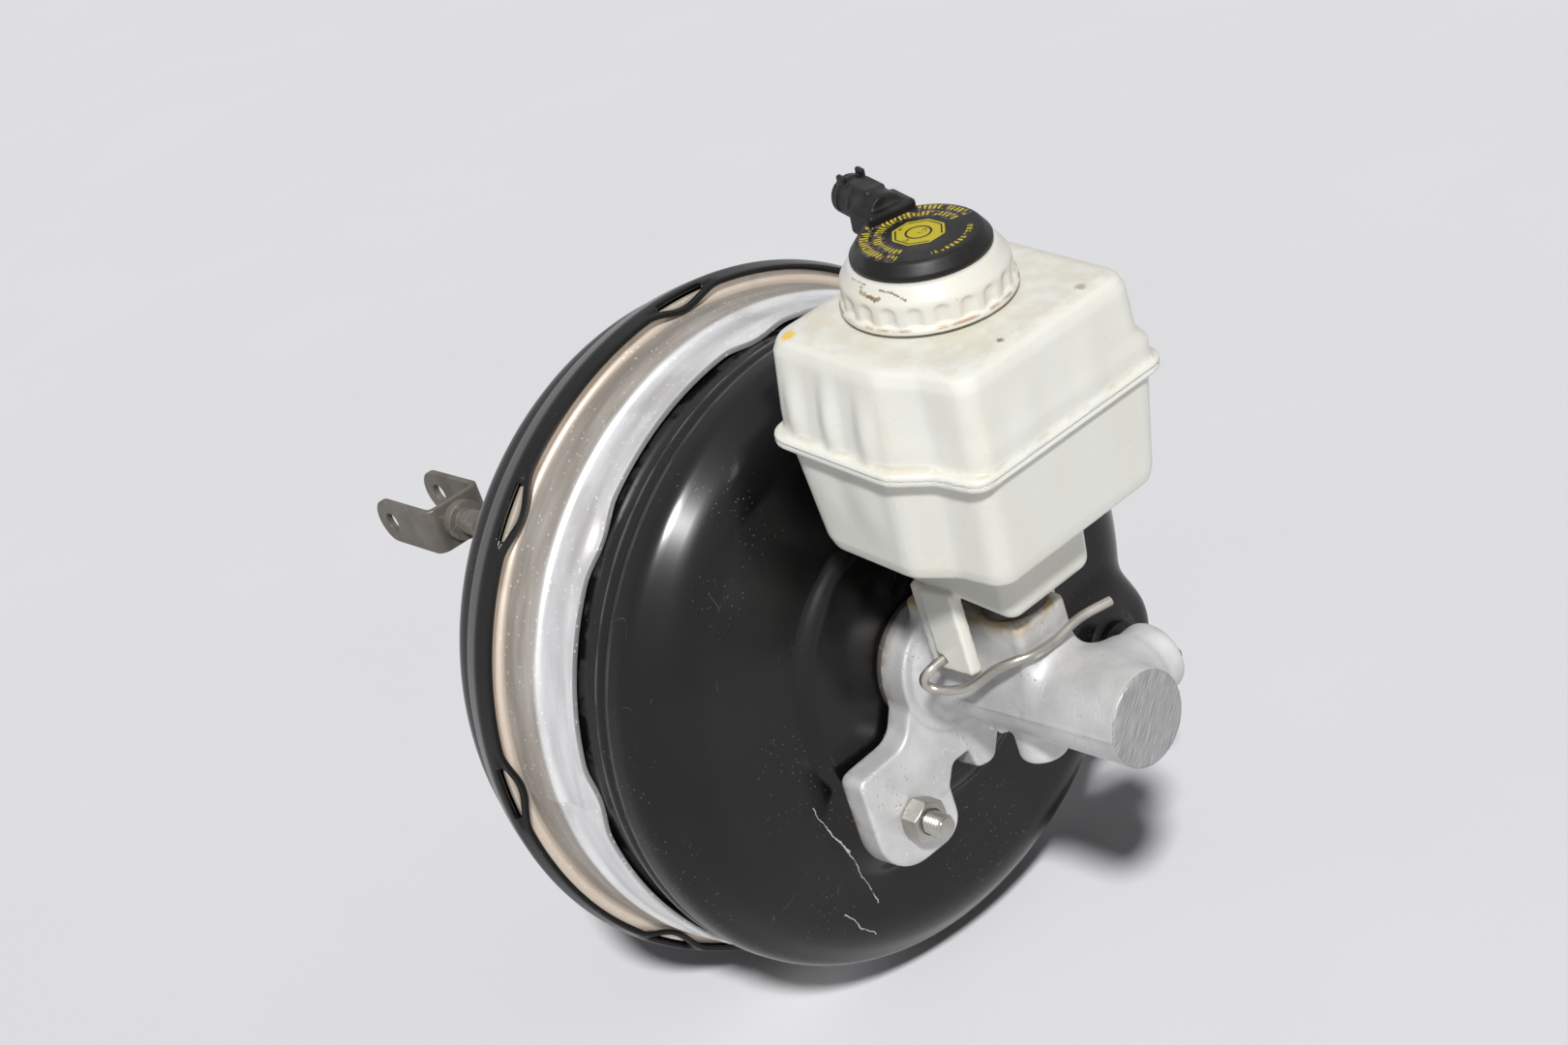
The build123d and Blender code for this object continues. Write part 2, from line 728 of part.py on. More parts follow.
def clevis():
    """U-bent steel clevis with a cross hole for the pedal pin."""
    half = CLEVIS_GAP / 2 + CLEVIS_T
    tip = PIN_X - CLEVIS_HEIGHT / 2 - 1
    path = [(tip, half), (CLEVIS_X, half), (CLEVIS_X, -half), (tip, -half)]
    bent = extrude(strip_face(path, [5, 5], CLEVIS_T), CLEVIS_HEIGHT / 2, both=True)
    side = [(tip, -CLEVIS_HEIGHT / 2), (CLEVIS_X + 1, -CLEVIS_HEIGHT / 2)]
    side += [(CLEVIS_X + 1, CLEVIS_HEIGHT / 2), (tip, CLEVIS_HEIGHT / 2)]
    round_tip = CLEVIS_HEIGHT / 2 - 0.1
    outline = Plane.XZ * loop(side, [round_tip, 0, 0, round_tip])
    bent &= extrude(outline, half + 1, both=True)
    bent -= rod(PIN_R, (PIN_X, -half - 1, 0), (PIN_X, half + 1, 0))
    return bent - rod(ROD_R + RUN, (CLEVIS_X - 8, 0, 0), (CLEVIS_X + 1, 0, 0))


def reaction_disc():
    """Rubber disc that feeds the braking force back to the pedal."""
    return rod(POCKET_R - 0.2, (POCKET_X + SNUG, 0, 0), (POCKET_X + 4, 0, 0))


def output_rod():
    """Rod that pushes the primary piston of the master cylinder."""
    head_x = POCKET_X + 4 + SNUG
    tip_x = PRIMARY_X + 12
    return turned([
        (head_x, 0), (head_x, POCKET_R - 0.4), (CAVITY_X, POCKET_R - 0.4),
        (CAVITY_X + 1, 5), (tip_x - 1, 5), (tip_x, 4), (tip_x, 0),
    ])


# ------------------------------------------------------------------ master cylinder
def flange_face():
    """Outline of the mounting flange: a disc, two ears and a cast hook."""
    ear = [
        (-12, 8), (-21.6, -4.5), (-27, -14.9), (-48.5, -15.9), (-48.5, -55.5),
        (-15.5, -55.5), (-15.5, -38.5), (-11.5, -31.8), (-4, -31.8), (-2.5, -39.8),
        (5, -41.5), (10.5, -31.5), (16, -8),
    ]
    near = loop(ear, [0, 6, 9, 3, 16, 16, 3, 3, 1.5, 2.5, 4, 6, 0])
    far = [point for point in ear if point[0] < -11 or point[1] > -10]
    opposite = Rot(0, 0, 180) * loop(far, [0, 6, 9, 3, 16, 16, 3, 0, 0])
    return Circle(DISC_R) + near + opposite


def master_cylinder_body():
    """Cast aluminium cylinder with flange, reservoir tower and two outlets."""
    front = PAD_X + MOUNT_T
    body = across(flange_face(), PAD_X, front)
    body += turned([
        (PAD_X - SPIGOT, 0), (PAD_X - SPIGOT, SPIGOT_R - 0.8),
        (PAD_X - SPIGOT + 0.8, SPIGOT_R), (PAD_X + 1, SPIGOT_R), (front + 1.5, 17.5),
        (front + 3, CAST_R), (CAST_X - 0.8, CAST_R), (CAST_X, CAST_R - 0.8), (CAST_X, 0),
    ])
    tower = [(TOWER_BACK_X, -TOWER_HALF), (TOWER_FRONT_X, -TOWER_HALF)]
    tower += [(TOWER_FRONT_X, TOWER_HALF), (TOWER_BACK_X, TOWER_HALF)]
    body += extrude(loop(tower, [0.5, 3.5, 3.5, 0.5]), TOWER_TOP)
    outlet = spun([
        (0, 0), (OUTLET_R - 0.5, 0), (OUTLET_R, 12), (OUTLET_R, OUTLET_END - 1),
        (OUTLET_R - 1, OUTLET_END), (0, OUTLET_END),
    ])
    body += Pos(OUTLET_X, 0, 0) * Rot(-90, 0, 0) * outlet
    body += rod(SIDE_R, (SIDE_X, 0, 0), (SIDE_X, 0, -SIDE_END))
    body -= rod(PORT_R, (OUTLET_X, OUTLET_END - PORT_DEPTH, 0), (OUTLET_X, OUTLET_END + 1, 0))
    body -= rod(1.5, (OUTLET_X, 0, 0), (OUTLET_X, OUTLET_END - 1, 0))
    body -= rod(PORT_R, (SIDE_X, 0, -SIDE_END + 9), (SIDE_X, 0, -SIDE_END - 1))
    body -= rod(1.5, (SIDE_X, 0, 0), (SIDE_X, 0, -SIDE_END + 1))
    body -= rod(BORE, (PAD_X - SPIGOT - 1, 0, 0), (CAST_X - CAST_END, 0, 0))
    back = PAD_X - SPIGOT
    body -= rod(14, (back - 1, 0, 0), (guide_x() + GUIDE_T + SNUG, 0, 0))
    body -= rod(14.8, (back + 1.5, 0, 0), (back + 1.5 + RING_T + 0.2, 0, 0))
    for x in SOCKETS_X:
        body -= rod(SOCKET_R, (x, 0, TOWER_TOP - SOCKET_DEPTH), (x, 0, TOWER_TOP + 1))
        body -= rod(2, (x, 0, 0), (x, 0, TOWER_TOP))
    clip_hole = (CLIP_X, -TOWER_HALF - 1, CLIP_Z), (CLIP_X, TOWER_HALF + 1, CLIP_Z)
    body -= rod(CLIP_R + PASS, *clip_hole)
    for y, z in front_studs():
        body -= rod(STUD_R + 0.4, (PAD_X - 1, y, z), (front + 1, y, z))
    return body


def guide_x():
    """Rear face of the guide bush."""
    return PAD_X - SPIGOT + 1.5 + RING_T + 0.4


def piston_guide():
    """Bush that guides the primary piston in the spigot."""
    return turned([
        (guide_x(), BORE), (guide_x(), 14 - SNUG), (guide_x() + GUIDE_T, 14 - SNUG),
        (guide_x() + GUIDE_T, BORE),
    ])


def piston_retaining_ring():
    """Split ring in a groove behind the guide bush."""
    start = PAD_X - SPIGOT + 1.6
    ring = turned([
        (start, BORE + 0.6), (start, 14.6), (start + RING_T, 14.6),
        (start + RING_T, BORE + 0.6),
    ])
    return ring - block((start - 1, -3, -16), (start + RING_T + 1, 3, 0))


def piston(start, length, socket_r, socket, seals):
    """A master cylinder piston with a hollow front and grooves for its seals."""
    radius = BORE - RUN
    end = start + length
    body = rod(radius, (start, 0, 0), (end, 0, 0))
    body -= rod(7.5, (end - 14, 0, 0), (end + 1, 0, 0))
    if socket > 0:
        body -= rod(socket_r, (start - 1, 0, 0), (start + socket, 0, 0))
    for x in seals:
        body -= ring_cup(x, radius + 1, 8.6)
    return body


def ring_cup(x, outside, inside):
    """The space of one lip seal on a piston."""
    return turned([(x, inside), (x, outside), (x + 4, outside), (x + 4, inside)])


def piston_cup(x):
    """Rubber lip seal on a piston."""
    radius = BORE - RUN
    return turned([
        (x + SNUG, 8.7), (x + SNUG, radius - 0.4), (x + 3.9, radius), (x + 3.9, radius - 0.9),
        (x + 1.6, radius - 1.2), (x + 1.6, 8.7),
    ])


def primary_cup_x():
    """Rear face of the groove in the primary piston."""
    return PRIMARY_X + PRIMARY - 8


def secondary_cups_x():
    """Rear faces of the two grooves in the secondary piston."""
    return (SECONDARY_X + 3, SECONDARY_X + SECONDARY - 8)


def seal_ring():
    """Rubber ring that closes the gap between booster and master cylinder."""
    return turned([
        (PLATEAU_X + SNUG, SPIGOT_R + 0.5), (PLATEAU_X + SNUG, 22.5),
        (PAD_X - SNUG, 22.5), (PAD_X - SNUG, SPIGOT_R + 0.5),
    ], [0, 1.2, 1.2, 0])


def vacuum_grommet():
    """Rubber grommet in the turret of the front shell."""
    grommet = turned([
        (TURRET_X - 3.6, 7), (TURRET_X - 3.6, 11.5), (TURRET_X - FRONT_SKIN - SNUG, 11.5),
        (TURRET_X - FRONT_SKIN - SNUG, 9.9), (TURRET_X + SNUG, 9.9),
        (TURRET_X + SNUG, 12.5), (TURRET_X + 3, 12.5), (TURRET_X + 3, 7),
    ], [0, 0, 0, 0, 0, 1, 1.2, 0])
    return Pos(0, TURRET_Y, TURRET_Z) * grommet


def check_valve():
    """One-way valve with a tapered nozzle for the vacuum hose."""
    valve = turned([
        (TURRET_X - 4.4, 4), (TURRET_X - 4.4, 7 - RUN), (TURRET_X + 3.3, 7 - RUN),
        (TURRET_X + 3.3, 8.5), (TURRET_X + 6, 8.5), (TURRET_X + 6, NOZZLE_R),
        (TURRET_X + 24, NOZZLE_R), (TURRET_X + 30, NOZZLE_R - 0.6),
        (TURRET_X + 30, 2.6), (TURRET_X + 6, 2.6), (TURRET_X + 6, 4),
    ])
    return Pos(0, TURRET_Y, TURRET_Z) * valve


# ------------------------------------------------------------------ reservoir
def tank_face(level):
    """Rounded outline of the reservoir at one level of its own frame."""
    back, front, left, right, jog, z = level
    points = [
        (back, left), (front - 25, left), (front - 15, left + jog),
        (front, left + jog + 2.5), (front, right), (back, right),
    ]
    return Plane.XY.offset(z) * loop(points, [6, 7, 7, 4, 6, 6])


def tank_stack(levels):
    """A solid through a stack of outlines."""
    solid = loft([tank_face(levels[0]), tank_face(levels[1])], ruled=True)
    for low, high in zip(levels[1:], levels[2:]):
        solid += loft([tank_face(low), tank_face(high)], ruled=True)
    return solid


def inset_levels(levels, wall):
    """The same stack moved inward by the wall."""
    moved = []
    for back, front, left, right, jog, z in levels:
        moved.append((back + wall, front - wall, left + wall, right - wall, jog, z))
    return moved


def weld_rim(low, high):
    """The flat rim of one half where it is welded to the other."""
    rim = (-31.0, 45.2, -45.0, 45.0, 7.5)
    return tank_stack([rim + (low,), rim + (high,)])


def reservoir_upper():
    """Upper half with its crowned top and the filler neck."""
    levels = [
        (-30.0, 43.8, -41.8, 43.6, 7.0, WELD_Z + SNUG / 2),
        (-30.0, 43.6, -41.3, 43.0, 7.0, -38.5),
        (-29.9, 43.0, -40.9, 39.4, 6.8, -34.0),
        (-29.8, 42.0, -39.4, 38.4, 5.5, TANK_TOP - 5.0),
        (-28.6, 40.8, -38.0, 37.2, 5.0, TANK_TOP - 1.6),
        (-25.4, 37.6, -34.6, 34.0, 5.0, TANK_TOP),
    ]
    half = tank_stack(levels) + weld_rim(WELD_Z + SNUG / 2, WELD_Z + WELD_T)
    half += rod(FILLER_R, (0, 0, TANK_TOP - 1), (0, 0, FILLER_TOP))
    hollow = inset_levels(levels[:4], WALL)
    hollow[0] = hollow[0][:5] + (WELD_Z - 1,)
    roof = TANK_TOP - WALL
    hollow.append((-25.5, 37.7, -35.0, 34.0, 5.0, roof))
    half -= tank_stack(hollow)
    return half - rod(FILLER_R - FILLER_WALL, (0, 0, TANK_TOP - 6), (0, 0, FILLER_TOP + 1))


def lower_levels():
    """Outlines of the lower half from its rounded floor to the weld."""
    return [
        (-19.6, 38.8, -36.4, 36.4, 7.0, TANK_BOTTOM),
        (-22.0, 41.2, -38.8, 38.8, 7.2, TANK_BOTTOM + 1.6),
        (-23.4, 41.9, -39.8, 39.8, 7.4, TANK_BOTTOM + 5.5),
        (-28.8, 43.6, -42.0, 42.0, 7.5, WELD_Z - SNUG / 2),
    ]


def foot_stack(wall, low, high):
    """The narrow foot below the tank, moved inward by the wall."""
    half = FOOT_HALF - wall
    points = [(FOOT_BACK + wall, -half), (FOOT_FRONT - wall, -half)]
    points += [(FOOT_FRONT - wall, half), (FOOT_BACK + wall, half)]
    return extrude(Plane.XY.offset(low) * loop(points, [6 - wall] * 4), high - low)


def reservoir_lower():
    """Lower half with its foot, two nipples and two legs for the clip."""
    levels = lower_levels()
    half = tank_stack(levels) + weld_rim(WELD_Z - WELD_T, WELD_Z - SNUG / 2)
    half += foot_stack(0, FOOT_BOTTOM + 1.5, TANK_BOTTOM + 3)
    half += foot_stack(1.5, FOOT_BOTTOM, FOOT_BOTTOM + 2)
    hollow = inset_levels(levels[1:], WALL)
    hollow[0] = hollow[0][:5] + (TANK_BOTTOM + WALL,)
    hollow[-1] = hollow[-1][:5] + (WELD_Z + 1,)
    half -= tank_stack(hollow)
    half -= foot_stack(WALL, FOOT_BOTTOM + WALL, TANK_BOTTOM + WALL + 1)
    half = TANK * half
    for side in (-1, 1):
        near = side * (FOOT_HALF - 2.1)
        plate = (side * FOOT_HALF, side * (FOOT_HALF + LEG_T))
        half += leg(near, plate[0] + side * 0.4, LEG_X[0], 44)
        half += leg(near, plate[1], LEG_X[0] + 5, 44)
        clip = (CLIP_X, near - side * 2, CLIP_Z), (CLIP_X, near + side * 8, CLIP_Z)
        half -= rod(CLIP_R + PASS, *clip)
    for x in SOCKETS_X:
        half += rod(NIPPLE_R, (x, 0, NIPPLE_Z), (x, 0, 44.5))
        half -= rod(NIPPLE_R - 1.8, (x, 0, NIPPLE_Z - 1), (x, 0, 47))
    return half


def leg(near, far, start_x, top):
    """One flat layer of a leg, between two y planes."""
    low_y, high_y = sorted((near, far))
    return block((start_x, low_y, LEG_BOTTOM), (LEG_X[1], high_y, top))


def reservoir_grommets():
    """Two rubber grommets between the tower and the nipples."""
    grommets = []
    for x in SOCKETS_X:
        low = TOWER_TOP - SOCKET_DEPTH + 0.5
        grommet = spun([
            (NIPPLE_R + SNUG, low), (SOCKET_R - SNUG, low),
            (SOCKET_R - SNUG, TOWER_TOP + SNUG), (SOCKET_R + 2.2, TOWER_TOP + SNUG),
            (SOCKET_R + 2.2, TOWER_TOP + 5), (NIPPLE_R + SNUG, TOWER_TOP + 5),
        ])
        grommets.append(Pos(x, 0, 0) * grommet)
    return Compound(children=grommets)


def strainer():
    """Slotted basket that hangs in the filler neck."""
    outside = FILLER_R - FILLER_WALL - PASS
    inside = outside - STRAINER_T
    lip = FILLER_TOP + SNUG
    basket = spun([
        (0, STRAINER_Z), (outside, STRAINER_Z), (outside, lip), (FILLER_R - 0.2, lip),
        (FILLER_R - 0.2, lip + 0.8), (inside, lip + 0.8), (inside, STRAINER_Z + 1),
        (0, STRAINER_Z + 1),
    ])
    for k in range(4):
        slot = block((-2.5, 0, STRAINER_Z + 5), (2.5, outside + 1, TANK_TOP - 8))
        basket -= Rot(0, 0, 45 + 90 * k) * slot
    return TANK * basket


def sensor_cap():
    """Black cap disc with the sensor stem below and the plug beside it."""
    cap = spun([
        (0, DISC_CAP_TOP), (17.7, DISC_CAP_TOP), (DISC_CAP_R, 1.5), (DISC_CAP_R, 0),
        (13.2, 0), (13.2, -3.3), (FILLER_R - 0.3, -3.3), (FILLER_R - 0.3, -4.8),
        (12.8, -4.8), (12.8, -11), (STEM_R, -11), (STEM_R, STEM_Z + 3), (6, STEM_Z + 3),
        (6, STEM_Z), (0, STEM_Z),
    ])
    cap += block((-24, -8, 0.4), (-14, 8, 8.6))
    cap += rod(PLUG_R, (-19, 0, PLUG_Z), (-PLUG_REACH, 0, PLUG_Z))
    for side in (-1, 1):
        cap += block((-34.5, side * 3.2 - 0.9, 10), (-30.5, side * 3.2 + 0.9, 14))
    cap -= rod(PLUG_R - 1.3, (-27.5, 0, PLUG_Z), (-PLUG_REACH - 1, 0, PLUG_Z))
    for side in (-1, 1):
        cap -= pin_bar(side, 0.55)
    return TANK * Rot(0, 0, -PLUG_TURN) * cap


def pin_bar(side, half):
    """One square contact pin of the plug."""
    low = (-34.5, side * 2 - half, PLUG_Z - half)
    return block(low, (-24.5, side * 2 + half, PLUG_Z + half))


def contact_pins():
    """Two contact pins inside the plug."""
    pins = [TANK * Rot(0, 0, -PLUG_TURN) * pin_bar(side, 0.5) for side in (-1, 1)]
    return Compound(children=pins)


def cap_gasket():
    """Flat rubber gasket under the cap flange."""
    low = FILLER_TOP + SNUG + 0.8 + SNUG
    ring = spun([(14.9, low), (17.3, low), (17.3, -4.9), (14.9, -4.9)])
    return TANK * ring


def cap_ring():
    """White screw ring with arched grips."""
    ring = spun([
        (13.6, -0.3), (21, -0.3), (24.4, -5), (24.4, -11.6), (RING_R, -12),
        (RING_R, RING_Z), (FILLER_R + 0.6, RING_Z), (FILLER_R + 0.6, -3), (13.6, -3),
    ], [0, 1.2, 3, 0.5, 0.3, 0.3, 0, 0, 0])
    for k in range(RING_GRIPS):
        grip = Pos(26.6, 0, -11.4) * Cylinder(3, 6.4, align=(Align.CENTER, Align.CENTER, Align.MIN))
        ring -= Rot(0, 0, 360 * k / RING_GRIPS) * grip
    return TANK * ring


def level_float():
    """Float that rides on the sensor stem."""
    low = STEM_Z + 3 + PASS
    ring = spun([
        (STEM_R + PASS, low), (FLOAT_R, low), (FLOAT_R, low + FLOAT_T),
        (STEM_R + PASS, low + FLOAT_T),
    ], [0, 1.5, 1.5, 0])
    return TANK * ring


def reservoir_clip():
    """Bent wire whose straight end pins both legs to the tower."""
    points = [
        (CLIP_X, 24, CLIP_Z), (CLIP_X, -22, CLIP_Z), (178.8, -25.4, 18.5),
        (176.9, -27.3, 16.2), (176, -26.6, 12.8), (178.3, -24.8, 10.7), (183.5, -22.8, 10.6),
        (190, -20.9, 12.7), (198, -18, 18), (204.4, -14.8, 20.8), (208, -9, 21),
        (208.2, 0, 20.4), (209.2, 11, 22), (212, 22, 22),
    ]
    straight = rod(CLIP_R, points[0], points[1])
    bend = Spline(points[1:])
    return straight + sweep(Plane(origin=bend @ 0, z_dir=bend % 0) * Circle(CLIP_R), path=bend)


# ------------------------------------------------------------------ pieces
save("rear_shell", rear_shell())
save("centre_shell", centre_shell())
save("front_shell", front_shell())
save("bulkhead_studs", bulkhead_studs())
save("master_cylinder_studs", master_cylinder_studs())
save("flange_nuts", flange_nuts())
save("neck_seal", neck_seal())
save("divider_plate", divider_plate())
save("divider_seal", divider_seal())
save("rear_diaphragm", rear_diaphragm())
save("front_diaphragm", front_diaphragm())
save("rear_piston_plate", sheet(rear_plate_path(), [PLATE_BEND], -PLATE_T))
save("front_piston_plate", sheet(front_plate_path(), [PLATE_BEND], -PLATE_T))
save("power_piston", power_piston())
save("stop_key", stop_key())
save("air_valve_plunger", air_valve_plunger())
save("valve_poppet", valve_poppet())
save("air_filter", air_filter())
save("poppet_spring", coil(-12.8, 2.8, 8.7, 8.7, 0.6, 5))
save("rod_return_spring", coil(-31.8, -15.2, 7.2, 7.2, 0.8, 5))
save("dust_boot", dust_boot())
save("input_rod", input_rod())
save("clevis", clevis())
save("reaction_disc", reaction_disc())
save("output_rod", output_rod())
save("main_return_spring", coil(94, PLATEAU_X - FRONT_SKIN - SNUG, 26.8, 36, 1.8, 4.5))
save("master_cylinder_seal", seal_ring())
save("master_cylinder_body", master_cylinder_body())
save("piston_guide", piston_guide())
save("piston_retaining_ring", piston_retaining_ring())
save("primary_piston", piston(PRIMARY_X, PRIMARY, 5.6, 12.5, [primary_cup_x()]))
save("primary_cup", piston_cup(primary_cup_x()))
save("secondary_piston", piston(SECONDARY_X, SECONDARY, 0, 0, secondary_cups_x()))
save("secondary_cups", Compound(children=[piston_cup(x) for x in secondary_cups_x()]))
save("primary_spring", coil(PRIMARY_X + PRIMARY - 13.9, SECONDARY_X - SNUG, 6, 6, 0.8, 7))
spring_x = SECONDARY_X + SECONDARY - 13.9
save("secondary_spring", coil(spring_x, CAST_X - CAST_END - SNUG, 6, 6, 0.8, 7))
save("vacuum_grommet", vacuum_grommet())
save("check_valve", check_valve())
save("reservoir_lower", reservoir_lower())
save("reservoir_upper", TANK * reservoir_upper())
save("reservoir_grommets", reservoir_grommets())
save("strainer", strainer())
save("sensor_cap", sensor_cap())
save("contact_pins", contact_pins())
save("cap_gasket", cap_gasket())
save("cap_ring", cap_ring())
save("level_float", level_float())
save("reservoir_clip", reservoir_clip())
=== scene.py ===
"""Dresses the tandem brake booster: its shells, master cylinder, reservoir and pedal rod."""

from __future__ import annotations

import json
import logging
import math
from collections.abc import Callable, Iterable, Sequence
from dataclasses import dataclass, field
from enum import Enum
from functools import partial, reduce

import bmesh
import bpy
import numpy as np
from bpy.types import Material, Object
from mathutils import Matrix, Vector


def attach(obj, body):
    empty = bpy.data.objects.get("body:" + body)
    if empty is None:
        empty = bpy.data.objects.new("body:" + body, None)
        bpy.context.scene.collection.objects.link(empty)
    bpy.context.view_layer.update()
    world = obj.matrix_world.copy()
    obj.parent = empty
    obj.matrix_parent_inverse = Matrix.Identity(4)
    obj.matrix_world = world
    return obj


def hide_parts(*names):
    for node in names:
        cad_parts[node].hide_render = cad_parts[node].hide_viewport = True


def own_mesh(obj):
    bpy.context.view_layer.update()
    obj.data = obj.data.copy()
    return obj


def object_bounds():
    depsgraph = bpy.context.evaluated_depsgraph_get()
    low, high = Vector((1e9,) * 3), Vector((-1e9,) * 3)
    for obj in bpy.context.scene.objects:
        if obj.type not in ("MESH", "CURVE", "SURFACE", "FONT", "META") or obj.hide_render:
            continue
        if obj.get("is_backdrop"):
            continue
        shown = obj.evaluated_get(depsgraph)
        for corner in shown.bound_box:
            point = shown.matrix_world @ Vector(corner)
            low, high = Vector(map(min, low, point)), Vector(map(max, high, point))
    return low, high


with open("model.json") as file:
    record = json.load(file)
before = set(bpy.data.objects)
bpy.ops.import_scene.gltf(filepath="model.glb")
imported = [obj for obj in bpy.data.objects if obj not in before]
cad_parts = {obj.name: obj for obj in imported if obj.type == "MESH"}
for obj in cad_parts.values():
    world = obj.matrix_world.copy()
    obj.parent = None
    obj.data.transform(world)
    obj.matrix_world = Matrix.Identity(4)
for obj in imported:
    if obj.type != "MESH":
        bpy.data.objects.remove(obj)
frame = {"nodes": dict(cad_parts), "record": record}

LOG = logging.getLogger("booster")
MM = 0.001

# Places and sizes that several pieces share, in millimetres and degrees.
TANK_ORIGIN = (199.8, 0.0, 148.5)
TANK_TILT = 8.22
RIM_R = 121.6
CRIMP_COUNT = 8
CRIMP_CLOCK = 88.5
TURRET = (78.8, -44.7)
TURRET_X = 141.5
STUDS = ((32.0, 39.0), (-32.0, -39.0))
SOCKETS_X = (167.5, 195.0)
BALL_X = 12.0

Array = np.ndarray
Point = tuple[float, float, float]
Colour = tuple[float, float, float, float]
Flat = tuple[float, float]
Knots = Sequence[Flat]


class Body(Enum):
    """Bodies of the frame that the pieces ride on."""

    HOUSING = "housing"
    POWER_PISTON = "power_piston"
    PEDAL_ROD = "pedal_rod"
    PRIMARY_PISTON = "primary_piston"
    SECONDARY_PISTON = "secondary_piston"
    SENSOR_CAP = "sensor_cap"
    CAP_RING = "cap_ring"
    CHECK_VALVE = "check_valve"


class Slot(Enum):
    """Material slots of the record, one for each finish."""

    BLACK_SHELL = "black_shell"
    SHELL_ALUMINIUM = "shell_aluminium"
    CAST_ALUMINIUM = "cast_aluminium"
    ZINC_STEEL = "zinc_steel"
    PHOSPHATED_STEEL = "phosphated_steel"
    SPRING_STEEL = "spring_steel"
    CLIP_WIRE = "clip_wire"
    PRESSED_STEEL = "pressed_steel"
    PISTON_ALUMINIUM = "piston_aluminium"
    RUBBER_BLACK = "rubber_black"
    SEAL_RUBBER = "seal_rubber"
    VALVE_BODY = "valve_body"
    MILKY_PLASTIC = "milky_plastic"
    RING_PLASTIC = "ring_plastic"
    CAP_PLASTIC = "cap_plastic"
    FILTER_FOAM = "filter_foam"
    CONTACT_BRASS = "contact_brass"


# ---------------- node expressions
def operation(kind: str, swapped: bool = False) -> Callable[[Value, Term], Value]:
    """A Math operation as an operator of Value, swapped for a number on its left."""

    def applied(value: Value, other: Term) -> Value:
        """The node that works it out."""
        return value.graph.math(kind, *((other, value) if swapped else (value, other)))

    return applied


class Value:
    """A socket of a node tree that takes part in expressions."""

    def __init__(self, graph: Graph, socket: bpy.types.NodeSocket) -> None:
        """Keep the socket with the graph that it belongs to."""
        self.graph = graph
        self.socket = socket

    def output(self, key: str | int) -> Value:
        """Another output of the same node."""
        return Value(self.graph, self.socket.node.outputs[key])

    __add__, __radd__ = operation("ADD"), operation("ADD", swapped=True)
    __sub__, __rsub__ = operation("SUBTRACT"), operation("SUBTRACT", swapped=True)
    __mul__, __rmul__ = operation("MULTIPLY"), operation("MULTIPLY", swapped=True)
    __truediv__, __lt__, __gt__ = map(operation, ("DIVIDE", "LESS_THAN", "GREATER_THAN"))

    def __abs__(self) -> Value:
        """Value without its sign."""
        return self.graph.math("ABSOLUTE", self)


Term = Value | float
Painted = tuple[Term, Term, Term, Value]


class Graph:
    """The nodes of one tree, written as Python expressions."""

    def __init__(self, tree: bpy.types.NodeTree) -> None:
        """Write into the given tree."""
        self.tree = tree

    def node(self, kind: str, settings: dict | None = None, inputs: dict | None = None) -> Value:
        """Add one node.

        Args:
            kind: Blender's name for the node type.
            settings: Properties of the node, set first.
            inputs: Values or links of its sockets, by name or place.

        Returns:
            The node's first output as a value, or the node wrapped with none.
        """
        made = self.tree.nodes.new(kind)
        for name, setting in (settings or {}).items():
            setattr(made, name, setting)
        for name, term in (inputs or {}).items():
            if isinstance(term, Value):
                self.tree.links.new(term.socket, made.inputs[name])
            else:
                made.inputs[name].default_value = term
        return Value(self, made.outputs[0] if made.outputs else None)

    def math(self, operation: str, *terms: Term) -> Value:
        """Apply one Math operation to the terms."""
        return self.node("ShaderNodeMath", {"operation": operation}, dict(enumerate(terms)))

    def most(self, *terms: Term) -> Value:
        """The largest of the terms."""
        return reduce(lambda a, b: self.math("MAXIMUM", a, b), terms)

    def least(self, *terms: Term) -> Value:
        """The smallest of the terms."""
        return reduce(lambda a, b: self.math("MINIMUM", a, b), terms)

    def length(self, *terms: Value) -> Value:
        """Length of the vector that has these parts."""
        return self.math("SQRT", reduce(lambda a, b: a + b, [term * term for term in terms]))

    def vector(self, operation: str, *terms: Value | Point, output: int = 0) -> Value:
        """Apply one Vector Math operation; output 1 is the scalar result."""
        made = self.node("ShaderNodeVectorMath", {"operation": operation}, dict(enumerate(terms)))
        return made.output(output)

    def scaled(self, vector: Value | Point, factor: Term) -> Value:
        """A vector times a number."""
        return self.node("ShaderNodeVectorMath", {"operation": "SCALE"}, {0: vector, "Scale": factor})

    def join(self, x: Term, y: Term, z: Term) -> Value:
        """A vector from three numbers."""
        return self.node("ShaderNodeCombineXYZ", inputs={0: x, 1: y, 2: z})

    def split(self, vector: Value) -> tuple[Value, Value, Value]:
        """The three numbers of a vector."""
        made = self.node("ShaderNodeSeparateXYZ", inputs={0: vector})
        return made.output("X"), made.output("Y"), made.output("Z")

    def fade(self, value: Value, low: float, high: float) -> Value:
        """A smooth change from zero at low to one at high; low may be the larger."""
        if low > high:
            return 1 - self.fade(value, high, low)
        settings = {"interpolation_type": "SMOOTHSTEP"}
        return self.node("ShaderNodeMapRange", settings, {0: value, 1: low, 2: high})

    def line(self, value: Value, middle: float, outer: float, inner: float = 0.0) -> Value:
        """One within the inner distance of the middle, zero past the outer one."""
        return self.fade(abs(value - middle), outer, inner)


